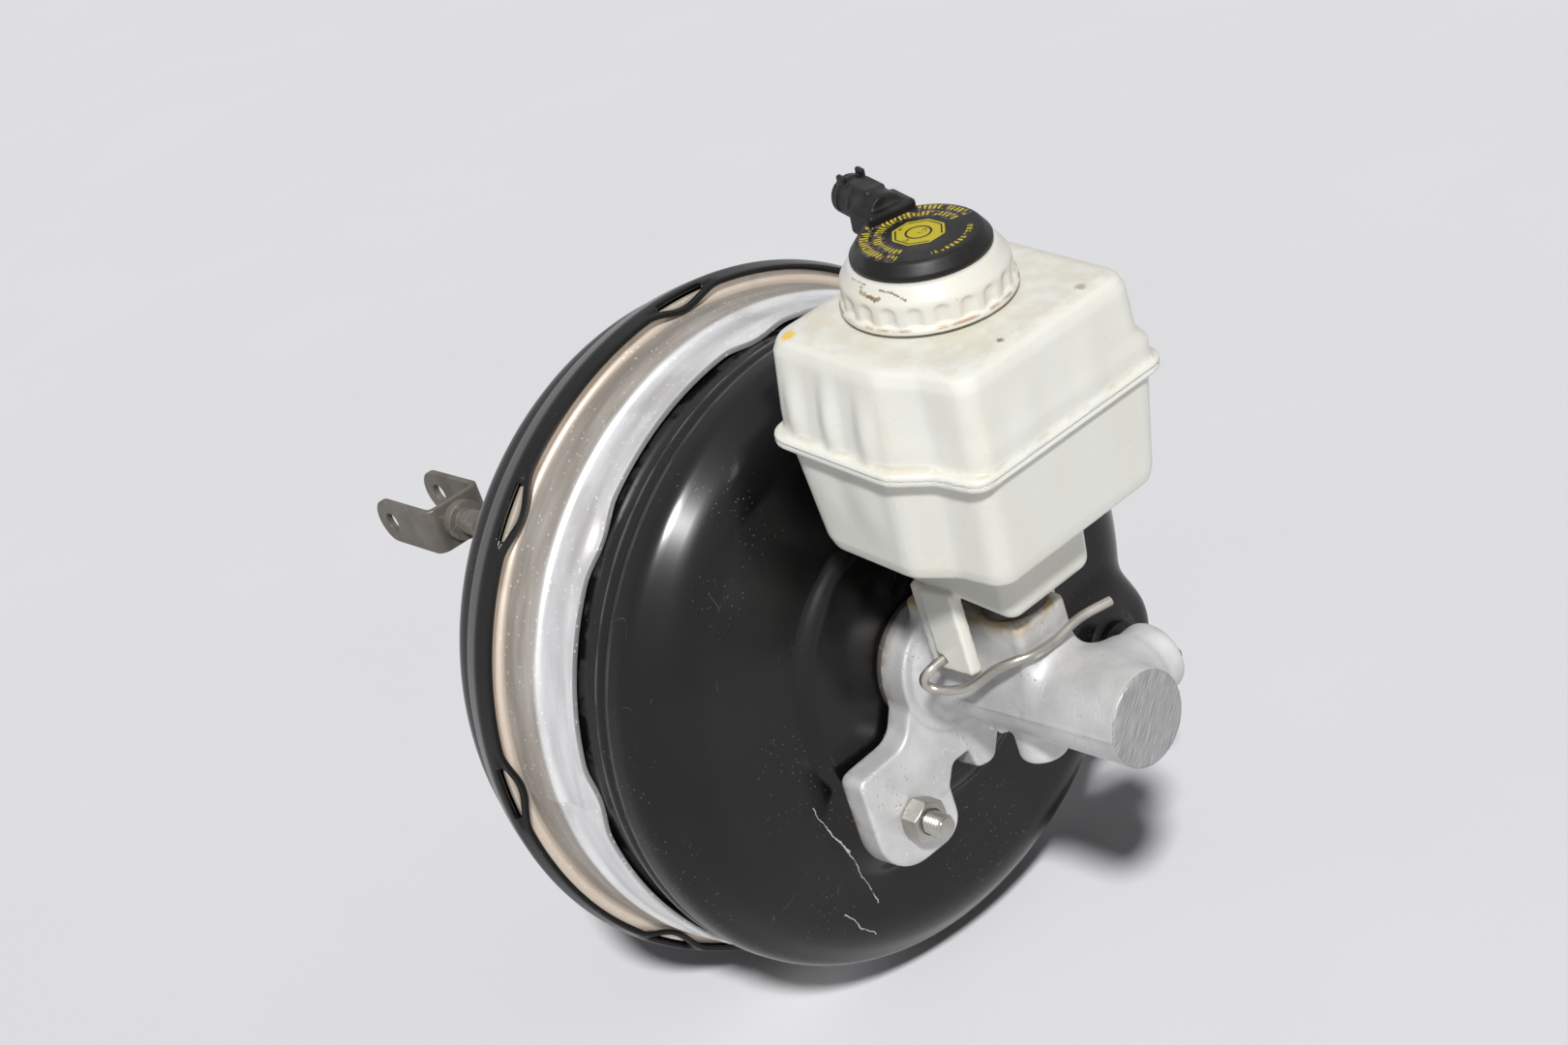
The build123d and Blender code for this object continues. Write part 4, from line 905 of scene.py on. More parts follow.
# ---------------- mesh aids
def mesh_object(name: str, points: Array, faces: Iterable, material: Material) -> Object:
    """Make a smooth mesh object.

    Args:
        name: Name of the object.
        points: Its points, in millimetres.
        faces: Point numbers of each face.
        material: Its finish.

    Returns:
        The object, linked into the scene.
    """
    mesh = bpy.data.meshes.new(name)
    faces = faces.tolist() if isinstance(faces, Array) else list(faces)
    mesh.from_pydata((np.asarray(points, float) * MM).tolist(), [], faces)
    mesh.materials.append(material)
    mesh.polygons.foreach_set("use_smooth", [True] * len(mesh.polygons))
    obj = bpy.data.objects.new(name, mesh)
    bpy.context.scene.collection.objects.link(obj)
    return obj


def cleaned(obj: Object, sharp: float = 38.0) -> Object:
    """Merge doubled points, turn faces outward and keep edges sharp above an angle."""
    mesh = bmesh.new()
    mesh.from_mesh(obj.data)
    bmesh.ops.remove_doubles(mesh, verts=mesh.verts, dist=1e-6)
    bmesh.ops.dissolve_degenerate(mesh, edges=mesh.edges, dist=1e-7)
    bmesh.ops.recalc_face_normals(mesh, faces=mesh.faces)
    mesh.to_mesh(obj.data)
    mesh.free()
    obj.data.set_sharp_from_angle(angle=math.radians(sharp))
    return obj


def settled(obj: Object) -> Object:
    """Turn the object's modifiers into plain mesh."""
    graph = bpy.context.evaluated_depsgraph_get()
    mesh = bpy.data.meshes.new_from_object(obj.evaluated_get(graph), depsgraph=graph)
    obj.modifiers.clear()
    obj.data = mesh
    return obj


def clock(columns: int) -> Array:
    """Angles of evenly spaced columns round a circle."""
    return np.arange(columns) * (2 * math.pi / columns)


def grid_faces(rows: int, columns: int, closed: bool = False) -> Array:
    """Four-sided faces of a grid that runs right round; closed joins its last row to its first."""
    i, j = np.meshgrid(np.arange(rows if closed else rows - 1), np.arange(columns), indexing="ij")
    k, n = (i + 1) % rows, (j + 1) % columns
    ring = [i * columns + j, i * columns + n, k * columns + n, k * columns + j]
    return np.stack([r.ravel() for r in ring], 1)


def revolved(name: str, path: Array, columns: int, material: Material, closed: bool = False) -> Object:
    """Turn a profile about the X axis.

    Args:
        name: Name of the object.
        path: Points (x, r) of the profile; the sheet faces out where they run forward.
        columns: Number of points round the axis.
        material: Its finish.
        closed: Whether the profile returns to its start.

    Returns:
        The turned sheet, or the skin of a solid where the profile is closed.
    """
    x = np.repeat(path[:, 0], columns)
    y = np.outer(path[:, 1], np.cos(clock(columns))).ravel()
    z = np.outer(path[:, 1], np.sin(clock(columns))).ravel()
    return mesh_object(name, np.stack([x, y, z], 1), grid_faces(len(path), columns, closed), material)


def walled(obj: Object, thickness: float, offset: float, even: bool = False) -> Object:
    """Ask for a wall on a sheet: offset -1 lays it inward, 1 outward and 0 to both sides."""
    wall = obj.modifiers.new("wall", "SOLIDIFY")
    wall.thickness, wall.offset, wall.use_even_offset = thickness * MM, offset, even
    return obj


def marched(
    name: str, form: Form, box: tuple[Point, Point], step: float, material: Material,
    sharp: float = 50.0, turn: Callable[[Array], Array] | None = None,
) -> Object:
    """Make a mesh piece from a form.

    Args:
        name: Name of the piece.
        form: Signed distance, negative inside.
        box: Lowest and highest corner of the searched box.
        step: Size of the cells.
        material: Finish of the piece.
        sharp: Angle in degrees above which an edge stays sharp.
        turn: Puts the points in their place, where the form has its own frame.

    Returns:
        The cleaned piece.
    """
    points, faces = skin(form, *box, step)
    return cleaned(mesh_object(name, turn(points) if turn else points, faces, material), sharp)


@dataclass(frozen=True)
class Turned:
    """A solid turned about a line along X from a closed outline of (x, r) points."""

    outline: Knots
    radii: Sequence[float] = ()
    centre: Flat = (0.0, 0.0)
    columns: int = 96
    edge: float = 0.25

    def build(self, name: str, material: Material) -> Object:
        """Build the mesh with its small edges broken."""
        radii = list(self.radii) or [0 if r <= 0 else self.edge for _, r in self.outline]
        path = rounded(self.outline, radii, closed=True, turn=18)
        obj = revolved(name, path, self.columns, material, closed=True)
        obj.data.transform(Matrix.Translation((0, self.centre[0] * MM, self.centre[1] * MM)))
        return cleaned(obj)


def spline(knots: Sequence[Point], spacing: float = 0.8) -> Array:
    """Points along a smooth curve through the knots, at an even spacing."""
    p = np.array(knots, float)
    p = np.vstack([2 * p[0] - p[1], p, 2 * p[-1] - p[-2]])
    made = []
    t = np.linspace(0, 1, 24, endpoint=False)[:, None]
    for a, b, c, d in zip(p, p[1:], p[2:], p[3:]):
        curve = (2 * a - 5 * b + 4 * c - d) * t ** 2 + (3 * b - a - 3 * c + d) * t ** 3
        made.append(0.5 * (2 * b + (c - a) * t + curve))
    made.append(p[-2:-1])
    fine = np.vstack(made)
    length = np.concatenate([[0], np.cumsum(np.linalg.norm(np.diff(fine, axis=0), axis=1))])
    stops = np.linspace(0, length[-1], int(length[-1] / spacing) + 2)
    return np.stack([np.interp(stops, length, fine[:, axis]) for axis in range(3)], 1)


def place(obj: Object, body: Body, slot: Slot, *nodes: str) -> Object:
    """Hand the finished piece to the frame.

    Args:
        obj: The piece.
        body: Body that it rides on.
        slot: Slot of its finish; not used.
        nodes: Nodes that it replaces.

    Returns:
        The same piece.
    """
    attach(obj, body.value)
    if nodes:
        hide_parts(*nodes)
    LOG.info("%s: %d faces", obj.name, len(obj.data.polygons))
    return obj


# ---------------- repeated and wound pieces
class Recipe(Graph):
    """A Geometry Nodes tree with named inputs."""

    def __init__(self, name: str) -> None:
        """Start a tree that takes and gives geometry."""
        super().__init__(bpy.data.node_groups.new(name, "GeometryNodeTree"))
        self.tree.interface.new_socket("Geometry", in_out="OUTPUT", socket_type="NodeSocketGeometry")
        self.inlet = self.tree.nodes.new("NodeGroupInput")
        self.names: dict[str, str] = {}
        self.sizes: dict[str, float] = {}
        self.base = self.entry("Geometry", "NodeSocketGeometry")

    def entry(self, name: str, kind: str = "NodeSocketFloat") -> Value:
        """Add a named input and give its value."""
        socket = self.tree.interface.new_socket(name, in_out="INPUT", socket_type=kind)
        self.names[name] = socket.identifier
        return Value(self, self.inlet.outputs[name])

    def sized(self, scale: float = MM, **sizes: float) -> list[Value]:
        """Add a number input for each size; sizes are in millimetres unless scaled otherwise."""
        self.sizes |= {name: size * scale for name, size in sizes.items()}
        return [self.entry(name) for name in sizes]

    def close(self, geometry: Value, material: Material) -> Recipe:
        """End the tree in real, dressed geometry."""
        real = self.node("GeometryNodeRealizeInstances", inputs={0: geometry})
        dressed = self.node("GeometryNodeSetMaterial", inputs={0: real, "Material": material})
        self.node("NodeGroupOutput", inputs={0: dressed})
        return self

    def run(self, obj: Object, **others: object) -> Object:
        """Set the inputs on the object and turn the result into plain mesh."""
        modifier = obj.modifiers.new(self.tree.name, "NODES")
        modifier.node_group = self.tree
        for name, size in {**self.sizes, **others}.items():
            modifier[self.names[name]] = size
        obj = settled(obj)
        obj.data.polygons.foreach_set("use_smooth", [True] * len(obj.data.polygons))
        return obj

    def swept(self, line: Value, radius: Value, sides: int) -> Value:
        """A round wire along a curve, with closed ends."""
        sizes = {"Resolution": sides, "Radius": radius}
        ring = self.node("GeometryNodeCurvePrimitiveCircle", inputs=sizes)
        return self.node("GeometryNodeCurveToMesh", inputs={0: line, 1: ring, "Fill Caps": True})


@dataclass(frozen=True)
class Crimps:
    """Lengths of a shell's edge pressed inward, evenly round it, with a slit behind some."""

    edge: float
    strip: float
    bow: float
    slit: float = 0.0
    ramp: float = 0.0
    half: float = 7.6
    opens: float = 1.4

    def apply(self, obj: Object, material: Material) -> Object:
        """Bow the strips and open the slits behind them."""
        recipe = Recipe("crimped_edge")
        edge, strip, bow, ramp = recipe.sized(
            Edge=self.edge, Strip=self.strip, Bow=self.bow, Ramp=max(self.ramp, 0.01),
        )
        slit, opens = recipe.sized(Slit=self.slit, Opens=self.opens)
        angles = {"Clock": math.radians(CRIMP_CLOCK), "Half": math.radians(self.half)}
        clock, half, count = recipe.sized(1, **angles, Count=float(CRIMP_COUNT))
        x, y, z = recipe.split(recipe.node("GeometryNodeInputPosition"))
        turn = recipe.math("DIVIDE", math.pi, count)
        apart = abs(recipe.math("WRAP", recipe.math("ARCTAN2", z, y) - clock, turn, 0 - turn))
        share = recipe.least(apart / half, 1.0)
        hill = bow * recipe.math("POWER", recipe.math("COSINE", share * (math.pi / 2)), 2.0)
        rise = recipe.fade((x - edge + strip + 0.02 * MM) / ramp, 0.0, 1.0)
        scale = 1 - hill * rise / recipe.length(y, z)
        moved = recipe.join(x, y * scale, z * scale)
        bowed = recipe.node("GeometryNodeSetPosition", inputs={0: recipe.base, "Position": moved})
        behind = (x > edge - strip - slit + 0.05 * MM) * (x < edge - strip - 0.05 * MM)
        opened = {0: bowed, "Selection": behind * (hill > opens)}
        slitted = recipe.node("GeometryNodeDeleteGeometry", {"domain": "FACE"}, opened)
        return recipe.close(slitted, material).run(obj)


@dataclass(frozen=True)
class Coil:
    """A compression spring along X, wound from one radius to another."""

    start: float
    end: float
    first: float
    last: float
    wire: float
    turns: float

    def build(self, name: str, material: Material) -> Object:
        """Wind the wire with a node tree."""
        recipe = Recipe("wound_spring")
        length = self.end - self.start - 2 * self.wire
        start, height, wire = recipe.sized(Start=self.start + self.wire, Height=length, Wire=self.wire)
        first, last = recipe.sized(First=self.first, Last=self.last)
        turns, = recipe.sized(1, Turns=self.turns)
        inputs = {"Resolution": 40, "Rotations": turns, "Height": height}
        inputs |= {"Start Radius": first, "End Radius": last}
        winding = recipe.node("GeometryNodeCurveSpiral", inputs=inputs)
        shift, turn = recipe.join(start, 0.0, 0.0), (0, math.pi / 2, 0)
        inputs = {0: winding, "Translation": shift, "Rotation": turn}
        laid = recipe.node("GeometryNodeTransform", inputs=inputs)
        recipe.close(recipe.swept(laid, wire, 12), material)
        return recipe.run(mesh_object(name, np.zeros((0, 3)), [], material))


@dataclass(frozen=True)
class Wire:
    """A bent wire that follows points."""

    radius: float
    path: Array

    def build(self, name: str, material: Material) -> Object:
        """Sweep the wire along its path with a node tree."""
        recipe = Recipe("bent_wire")
        radius, = recipe.sized(Radius=self.radius)
        line = recipe.node("GeometryNodeMeshToCurve", inputs={0: recipe.base})
        recipe.close(recipe.swept(line, radius, 20), material)
        mesh = bpy.data.meshes.new(name)
        edges = [(i, i + 1) for i in range(len(self.path) - 1)]
        mesh.from_pydata((self.path * MM).tolist(), edges, [])
        obj = bpy.data.objects.new(name, mesh)
        bpy.context.scene.collection.objects.link(obj)
        return cleaned(recipe.run(obj), 60)


def repeated(name: str, master: Object, stations: Sequence[Point], material: Material) -> Object:
    """Set one fastener at each station with a node tree.

    Args:
        name: Name of the object.
        master: The fastener, removed when the pattern is made.
        stations: Where it stands, in millimetres.
        material: Its finish.

    Returns:
        All of them in one object.
    """
    recipe = Recipe("fastener_pattern")
    piece = recipe.entry("Piece", "NodeSocketObject")
    made = recipe.node("GeometryNodeObjectInfo", inputs={"Object": piece})
    spots = recipe.node("GeometryNodeMeshToPoints", inputs={0: recipe.base})
    inputs = {0: spots, "Instance": made.output("Geometry")}
    recipe.close(recipe.node("GeometryNodeInstanceOnPoints", inputs=inputs), material)
    obj = recipe.run(mesh_object(name, stations, [], material), Piece=master)
    bpy.data.objects.remove(master)
    return cleaned(obj, 32)


# ---------------- housing
@dataclass
class Housing:
    """Rear pan and aluminium centre shell, turned sheets with crimped edges."""

    materials: dict[Slot, Material]
    rim: float = RIM_R
    columns: int = 480
    lip_x: float = 72.5
    band_x: float = 105.0
    rear_skin: float = 1.9
    skin: float = 1.8

    def rear(self) -> None:
        """Neck, flat back, cone, cylinder, rim and crimped lip."""
        lip_r, can_r = self.rim - 1.4, self.rim - 6.6
        knots = [(-16, 26), (0, 26), (0, 66), (14, 90), (46.5, can_r), (54, can_r)]
        knots += [(57.5, self.rim - 2.9), (66.5, self.rim), (self.lip_x, lip_r)]
        path = divided(rounded(knots, [2, 10, 24, 14, 2.5, 3, 5]), 3.0)
        path = self.stations(path, [self.lip_x - 3.6, self.lip_x - 1.9])
        material = self.materials[Slot.BLACK_SHELL]
        pan = revolved("rear_pan", path, self.columns, material)
        pan = Crimps(self.lip_x, 1.9, 3.8, slit=1.7).apply(pan, material)
        place(thickened(pan, self.rear_skin), Body.HOUSING, Slot.BLACK_SHELL, "rear_shell")

    def centre(self) -> None:
        """Satin ring with the bright band whose edge is crimped over the front shell."""
        flange_r = self.rim - 3.4
        knots = [(69.7, flange_r), (69.7, flange_r - 4.2), (87.4, flange_r - 5.5)]
        knots += [(88.7, flange_r - 7.0), (self.band_x, flange_r - 7.2)]
        path = divided(rounded(knots, [2.2, 1.2, 2.4]), 2.5)
        path = self.stations(path, [self.band_x - back for back in (5.0, 3.7, 2.4, 1.2)])
        material = self.materials[Slot.SHELL_ALUMINIUM]
        ring = revolved("centre_ring", path, self.columns, material)
        ring = Crimps(self.band_x, 5.0, 2.2, ramp=4.6).apply(ring, material)
        place(thickened(ring, self.skin), Body.HOUSING, Slot.SHELL_ALUMINIUM, "centre_shell")

    def stations(self, path: Array, stops: Sequence[float]) -> Array:
        """The path with a point at each x station, where it runs forward."""
        for stop in stops:
            crosses = (path[:-1, 0] < stop - 1e-6) & (path[1:, 0] > stop + 1e-6)
            if crosses.any():
                i = int(np.flatnonzero(crosses)[-1])
                share = (stop - path[i, 0]) / (path[i + 1, 0] - path[i, 0])
                made = path[i] + (path[i + 1] - path[i]) * share
                path = np.insert(path, i + 1, made, axis=0)
        return path


def thickened(obj: Object, thickness: float, even: bool = True) -> Object:
    """Give a turned sheet its wall, inward, and break its edges."""
    edge = walled(obj, thickness, -1, even).modifiers.new("edge", "BEVEL")
    edge.width, edge.segments, edge.limit_method = 0.3 * MM, 2, "ANGLE"
    edge.angle_limit = math.radians(50)
    obj = settled(obj)
    obj.data.set_sharp_from_angle(angle=math.radians(40))
    return obj


@dataclass
class FrontShell:
    """Black dome with the stud bar, the stud pads and the check valve turret pressed in."""

    material: Material
    wall: float = 104.8
    flange_x: float = 99.0
    shoulder_x: float = 127.5
    face_x: float = 139.5
    plateau_x: float = 143.0
    plateau_r: float = 48.5
    pad_x: float = 147.0
    pad_r: float = 14.5
    lobe_r: float = 18.0
    turret_r: float = 21.5
    hole_r: float = 10.0
    skin: float = 1.8
    spigot_r: float = 17.2
    columns: int = 420

    def profile(self) -> tuple[list[Flat], list[float]]:
        """Corners and radii of the pressed outline, flange first."""
        bead, shoulder, face = self.wall + 3.5, self.wall + 2.2, self.wall - 10.6
        knots = [(self.flange_x, self.wall + 4.1), (self.flange_x, self.wall + 1.7)]
        knots += [(112.5, self.wall), (115.5, bead), (118.3, bead - 1.6), (121, bead - 0.4)]
        knots += [(self.shoulder_x, shoulder), (self.face_x, face), (self.face_x, self.plateau_r + 4)]
        knots += [(self.plateau_x, self.plateau_r), (self.plateau_x, 0)]
        return knots, [2.4, 2.6, 2.0, 2.4, 3, 8, 20, 5, 5]

    def form(self, p: Space, base: Outline) -> Array:
        """The pressed outside: turned dome, stud bar, pads and turret."""
        dome = base.at(p.x, np.hypot(p.y, p.z))
        ay, az = STUDS[0]
        along = np.clip((p.y * ay + p.z * az) / (ay * ay + az * az), -1, 1)
        side = np.hypot(p.y - along * ay, p.z - along * az)
        drop = np.clip((self.plateau_x - p.x) / 10, 0, 1.4)
        bar = meet((side - self.lobe_r - 7 * drop) * 0.82, p.x - self.plateau_x, 4)
        made = join(dome, bar, 4)
        for sign in (-1, 1):
            reach = np.hypot(p.y - sign * ay, p.z - sign * az)
            drop = np.clip((self.pad_x - p.x) / 10, 0, 1.2)
            pad = meet((reach - self.pad_r - 8 * drop) * 0.8, p.x - self.pad_x, 2.5)
            made = join(made, pad, 3)
        reach = np.hypot(p.y - TURRET[0], p.z - TURRET[1])
        flare = np.clip((TURRET_X - 8 - p.x) / 11, 0, 1)
        boss = meet((reach - self.turret_r + 9.5 * flare) * 0.9, p.x - TURRET_X, 6)
        return join(made, boss, 7)

    def build(self) -> None:
        """March a turned grid outward to the pressed form, then give it its wall."""
        knots, radii = self.profile()
        path = rounded(knots, radii, turn=7)
        loop = np.vstack([path, [(self.flange_x, 0)]])
        base = Outline(loop, step=0.35)
        path = divided(path[path[:, 1] > self.spigot_r], 1.5)
        path = np.vstack([path, [(self.plateau_x, self.spigot_r)]])
        slope = np.gradient(path, axis=0)
        normal = np.stack([slope[:, 1], -slope[:, 0]], 1)
        normal = -normal / np.linalg.norm(normal, axis=1)[:, None]
        cos, sin = np.cos(clock(self.columns))[None, :], np.sin(clock(self.columns))[None, :]

        def spun(points: Array) -> Array:
            """Flat (x, r) points turned to every column."""
            turned = (points[:, :1], points[:, 1:] * cos, points[:, 1:] * sin)
            return np.stack(np.broadcast_arrays(*turned), -1)

        start, away = spun(path), spun(normal)
        reach = np.zeros(start.shape[:2])
        for _ in range(36):
            gap = self.form(Space(*np.moveaxis(start + away * reach[..., None], -1, 0)), base)
            reach = np.clip(reach - gap * 0.85, 0, 30)
        spot = self.dents(start + away * reach[..., None]).reshape(-1, 3)
        faces = grid_faces(len(path), self.columns)[:, ::-1]
        dome = mesh_object("front_dome", spot, faces, self.material)
        self.pierce(dome)
        place(thickened(dome, self.skin, even=False), Body.HOUSING, Slot.BLACK_SHELL, "front_shell")

    def pierce(self, obj: Object) -> None:
        """Open the round hole of the check valve in the turret's face."""
        mesh = bmesh.new()
        mesh.from_mesh(obj.data)
        y, z = TURRET
        lost = []
        for face in mesh.faces:
            centre = face.calc_center_median() / MM
            if centre.x > TURRET_X - 3.5 and math.hypot(centre.y - y, centre.z - z) < self.hole_r:
                lost.append(face)
        bmesh.ops.delete(mesh, geom=lost, context="FACES")
        mesh.to_mesh(obj.data)
        mesh.free()

    def dents(self, spot: Array) -> Array:
        """Shallow lens marks in the wall where the crimped band bears on it."""
        angle = np.degrees(np.arctan2(spot[..., 2], spot[..., 1]))
        half = 180 / CRIMP_COUNT
        apart = np.abs((angle - CRIMP_CLOCK + half) % (2 * half) - half)
        ridge = bump(spot[..., 0], 108.2, 1.6) * bump(apart, 0, 5.0) * 0.8
        hollow = bump(spot[..., 0], 104.4, 2.6) * bump(apart, 0, 7.0) * 0.9
        radius = np.hypot(spot[..., 1], spot[..., 2])
        spot[..., 1:] *= (1 + (ridge - hollow) / radius)[..., None]
        return spot


# ---------------- fasteners
@dataclass
class Fasteners:
    """Threaded studs of both ends and the two flange nuts."""

    material: Material
    radius: float = 4.0
    pitch: float = 1.25
    head: float = 3.0
    flats: float = 13.0
    nut_height: float = 7.5
    depth: float = 0.62
    flange_r: float = 9.0
    front_x: float = 142.1
    nut_x: float = 156.6

    def stud(self, shank: float, length: float) -> Object:
        """One stud along +X from its head, threaded past the shank."""
        columns, rows = 40, int((length - shank) / self.pitch * 7)
        head = [0, 0, 0.5, self.head - 0.3, self.head, self.head, shank - 0.01]
        x = np.concatenate([head, np.linspace(shank, length, rows), [length]])
        disc = [0, self.flange_r - 0.4, self.flange_r, self.flange_r, self.flange_r - 0.3]
        plain = np.concatenate([disc, np.full(rows + 2, self.radius), [0]])
        angles = clock(columns)
        turn = (x[:, None] - self.head) / self.pitch - angles[None, :] / (2 * math.pi)
        depth = self.depth * np.abs(2 * (turn - np.floor(turn)) - 1)
        fade = np.clip((x - shank) / 1.2, 0, 1) * (np.arange(len(x)) >= len(head))
        tip = np.clip((x - length + 0.9) / 0.9, 0, 1) * 0.8
        radius = plain[:, None] - (depth * fade[:, None] + tip[:, None]) * (plain[:, None] > 1)
        y, z = radius * np.cos(angles), radius * np.sin(angles)
        points = np.stack([np.repeat(x, columns), y.ravel(), z.ravel()], 1)
        faces = np.roll(grid_faces(len(x), columns)[:, ::-1], 1, axis=1)
        return cleaned(mesh_object("stud_master", points, faces, self.material), 40)

    def nut(self) -> Object:
        """One hexagon nut along +X with chamfered corners and a countersunk bore."""

        def form(p: Space) -> Array:
            """The nut's solid."""
            turns = [math.pi / 3 * side for side in range(3)]
            sides = [np.abs(p.y * math.cos(a) + p.z * math.sin(a)) for a in turns]
            made = np.maximum.reduce(sides) - self.flats / 2
            reach, half = np.hypot(p.y, p.z), self.nut_height / 2
            ends = (p.x - self.nut_height, -p.x)
            for end in ends:
                made = meet(made, end, 0.3)
            for end in ends:
                made = meet(made, (reach - 6.3 + (end + 0.15) * 1.6) / 1.9, 0.2)
            bore = reach - 3.72 - np.clip(np.abs(p.x - half) - half + 0.7, 0, 0.7)
            return cut(made, bore, 0.15)

        box = (-0.6, -8.2, -8.2), (self.nut_height + 0.6, 8.2, 8.2)
        return marched("nut_master", form, box, 0.34, self.material, sharp=30)

    def build(self) -> None:
        """Set all studs and nuts."""
        rear = self.stud(5.2, 27.0)
        rear.data.transform(Matrix.Rotation(math.pi, 4, "Z"))
        pattern = [(5.0, y, z) for y in (-40, 40) for z in (-30, 30)]
        front = [(self.front_x, *stud) for stud in STUDS]
        seats = [(self.nut_x, *stud) for stud in STUDS]
        for name, master, stations, node in (
            ("rear_studs", rear, pattern, "bulkhead_studs"),
            ("front_studs", self.stud(10.0, 28.9), front, "master_cylinder_studs"),
            ("stud_nuts", self.nut(), seats, "flange_nuts"),
        ):
            piece = repeated(name, master, stations, self.material)
            place(piece, Body.HOUSING, Slot.ZINC_STEEL, node)


# ---------------- master cylinder
@dataclass
class MasterCylinder:
    """Cast cylinder with its flange, reservoir tower, outlets, seal ring and clip."""

    materials: dict[Slot, Material]
    seat: float = 147.0
    mount: float = 9.5
    disc: float = 21.0
    cast_r: float = 15.0
    end: float = 239.0
    bore: float = 11.1
    spigot: float = 22.0
    outlet_x: float = 218.0
    stub_x: float = 189.0
    port_r: float = 5.5
    clip_x: float = 179.0
    clip_z: float = 19.0
    step: float = 0.8
    ear: tuple = (
        (-12, 8), (-21.6, -4.5), (-27, -14.9), (-48.5, -15.9), (-48.5, -55.5),
        (-15.5, -55.5), (-15.5, -38.5), (-11.5, -31.8), (-4, -31.8), (-2.5, -39.8),
        (5, -41.5), (10.5, -31.5), (16, -8),
    )
    ear_radii: tuple = (0, 6, 9, 3, 16, 16, 3, 3, 1.5, 2.5, 4, 6, 0)

    def flange(self) -> Outline:
        """Outline of the flange: disc, near ear with the cast hook, far ear."""
        near = rounded(self.ear, self.ear_radii, closed=True)
        far = [point for point in self.ear if point[0] < -11 or point[1] > -10]
        far = -rounded(far, (0, 6, 9, 3, 16, 16, 3, 0, 0), closed=True)
        disc = np.stack([np.cos(clock(60)), np.sin(clock(60))], 1) * self.disc
        return Outline(near, far, disc, step=0.5)

    def form(self, p: Space, flange: Outline) -> Array:
        """The casting with its fillets, then what is cut from it."""
        front = self.seat + self.mount
        edge = flange.at(p.y, p.z)
        slant = (front - p.x) * 0.06
        plate = meet(edge - slant, np.abs(p.x - self.seat - self.mount / 2) - self.mount / 2, 1.1)
        reach = np.hypot(p.y, p.z)
        lip = meet(np.abs(reach - 20.6) - 1.5, p.x - front - 1.3, 1.2)
        lip = meet(lip, p.z * 0.5 - 12 + p.y * 0.6, 3)
        plate = join(plate, meet(lip, self.seat - p.x, 0.5), 1.6)
        barrel = p.bar((self.seat - 4, 0, 0), (self.end, 0, 0), self.cast_r, 0.7)
        collar = p.bar((self.seat, 0, 0), (front + 2.2, 0, 0), 17.4, 1.5)
        made = join(join(plate, collar, 3), barrel, 3.5)
        tower = p.block((156, -11, 0), (205.5, 11, 30.5), 2.6)
        wave = 0.9 * np.sin(p.x * 0.23 + 1.2) * bump(p.z, 30.5, 5)
        made = join(made, tower + np.maximum(wave, 0) * 0.6, 6.5)
        web = p.block((150, -3.2, -2), (160, 3.2, 27.5), 2)
        made = join(made, web, 3)
        x = self.outlet_x
        outlet = p.bar((x, 0, 0), (x, 30, 0), 11.5, 3.2)
        outlet = join(outlet, p.bar((x, 5, 0), (x, 21, 0), 12.4, 3), 2)
        made = join(made, outlet, 8)
        stub = p.bar((self.stub_x, 0, 0), (self.stub_x, 0, -25.6), 8.0, 2.0)
        made = join(made, stub, 4)
        rib = meet(np.abs(p.z - 0.02 * (p.x - 177)) - 0.45, reach - self.cast_r - 0.45, 0.5)
        rib = meet(rib, np.abs(p.x - 206) - 32.6, 0.6)
        made = join(made, np.maximum(rib, p.y), 0.9)
        for x in (178.5, 182.5):
            made = join(made, p.ball((x, -8.6, -12.6), 1.9), 1.6)
        socket = p.bar((self.seat - self.spigot, 0, 0), (self.seat + 2, 0, 0), 16.8, 0.7)
        return drilled(join(made, socket, 0.4), p, self.holes())

    def holes(self) -> list[tuple[Point, Point, float, float]]:
        """Tank sockets with their feed holes, ports, stepped bore, clip hole and stud holes."""
        made = []
        for x in SOCKETS_X:
            made += [((x, 0, 22), (x, 0, 40), 8.0, 0.7), ((x, 0, 0), (x, 0, 30), 2.0, 0.2)]
        outlet, stub, x, z = self.outlet_x, self.stub_x, self.clip_x, self.clip_z
        made += [((outlet, 17, 0), (outlet, 40, 0), self.port_r, 0.8)]
        made += [((stub, 0, -17), (stub, 0, -40), self.port_r, 0.8)]
        bores = ((100, 231, self.bore, 0.3), (100, 136.1, 14.0, 0.3), (126.5, 128.3, 14.8, 0.0))
        made += [((back, 0, 0), (front, 0, 0), radius, soft) for back, front, radius, soft in bores]
        made += [((x, -30, z), (x, 30, z), 1.8, 0.5)]
        return made + [((140, *stud), (160, *stud), 4.4, 0.5) for stud in STUDS]

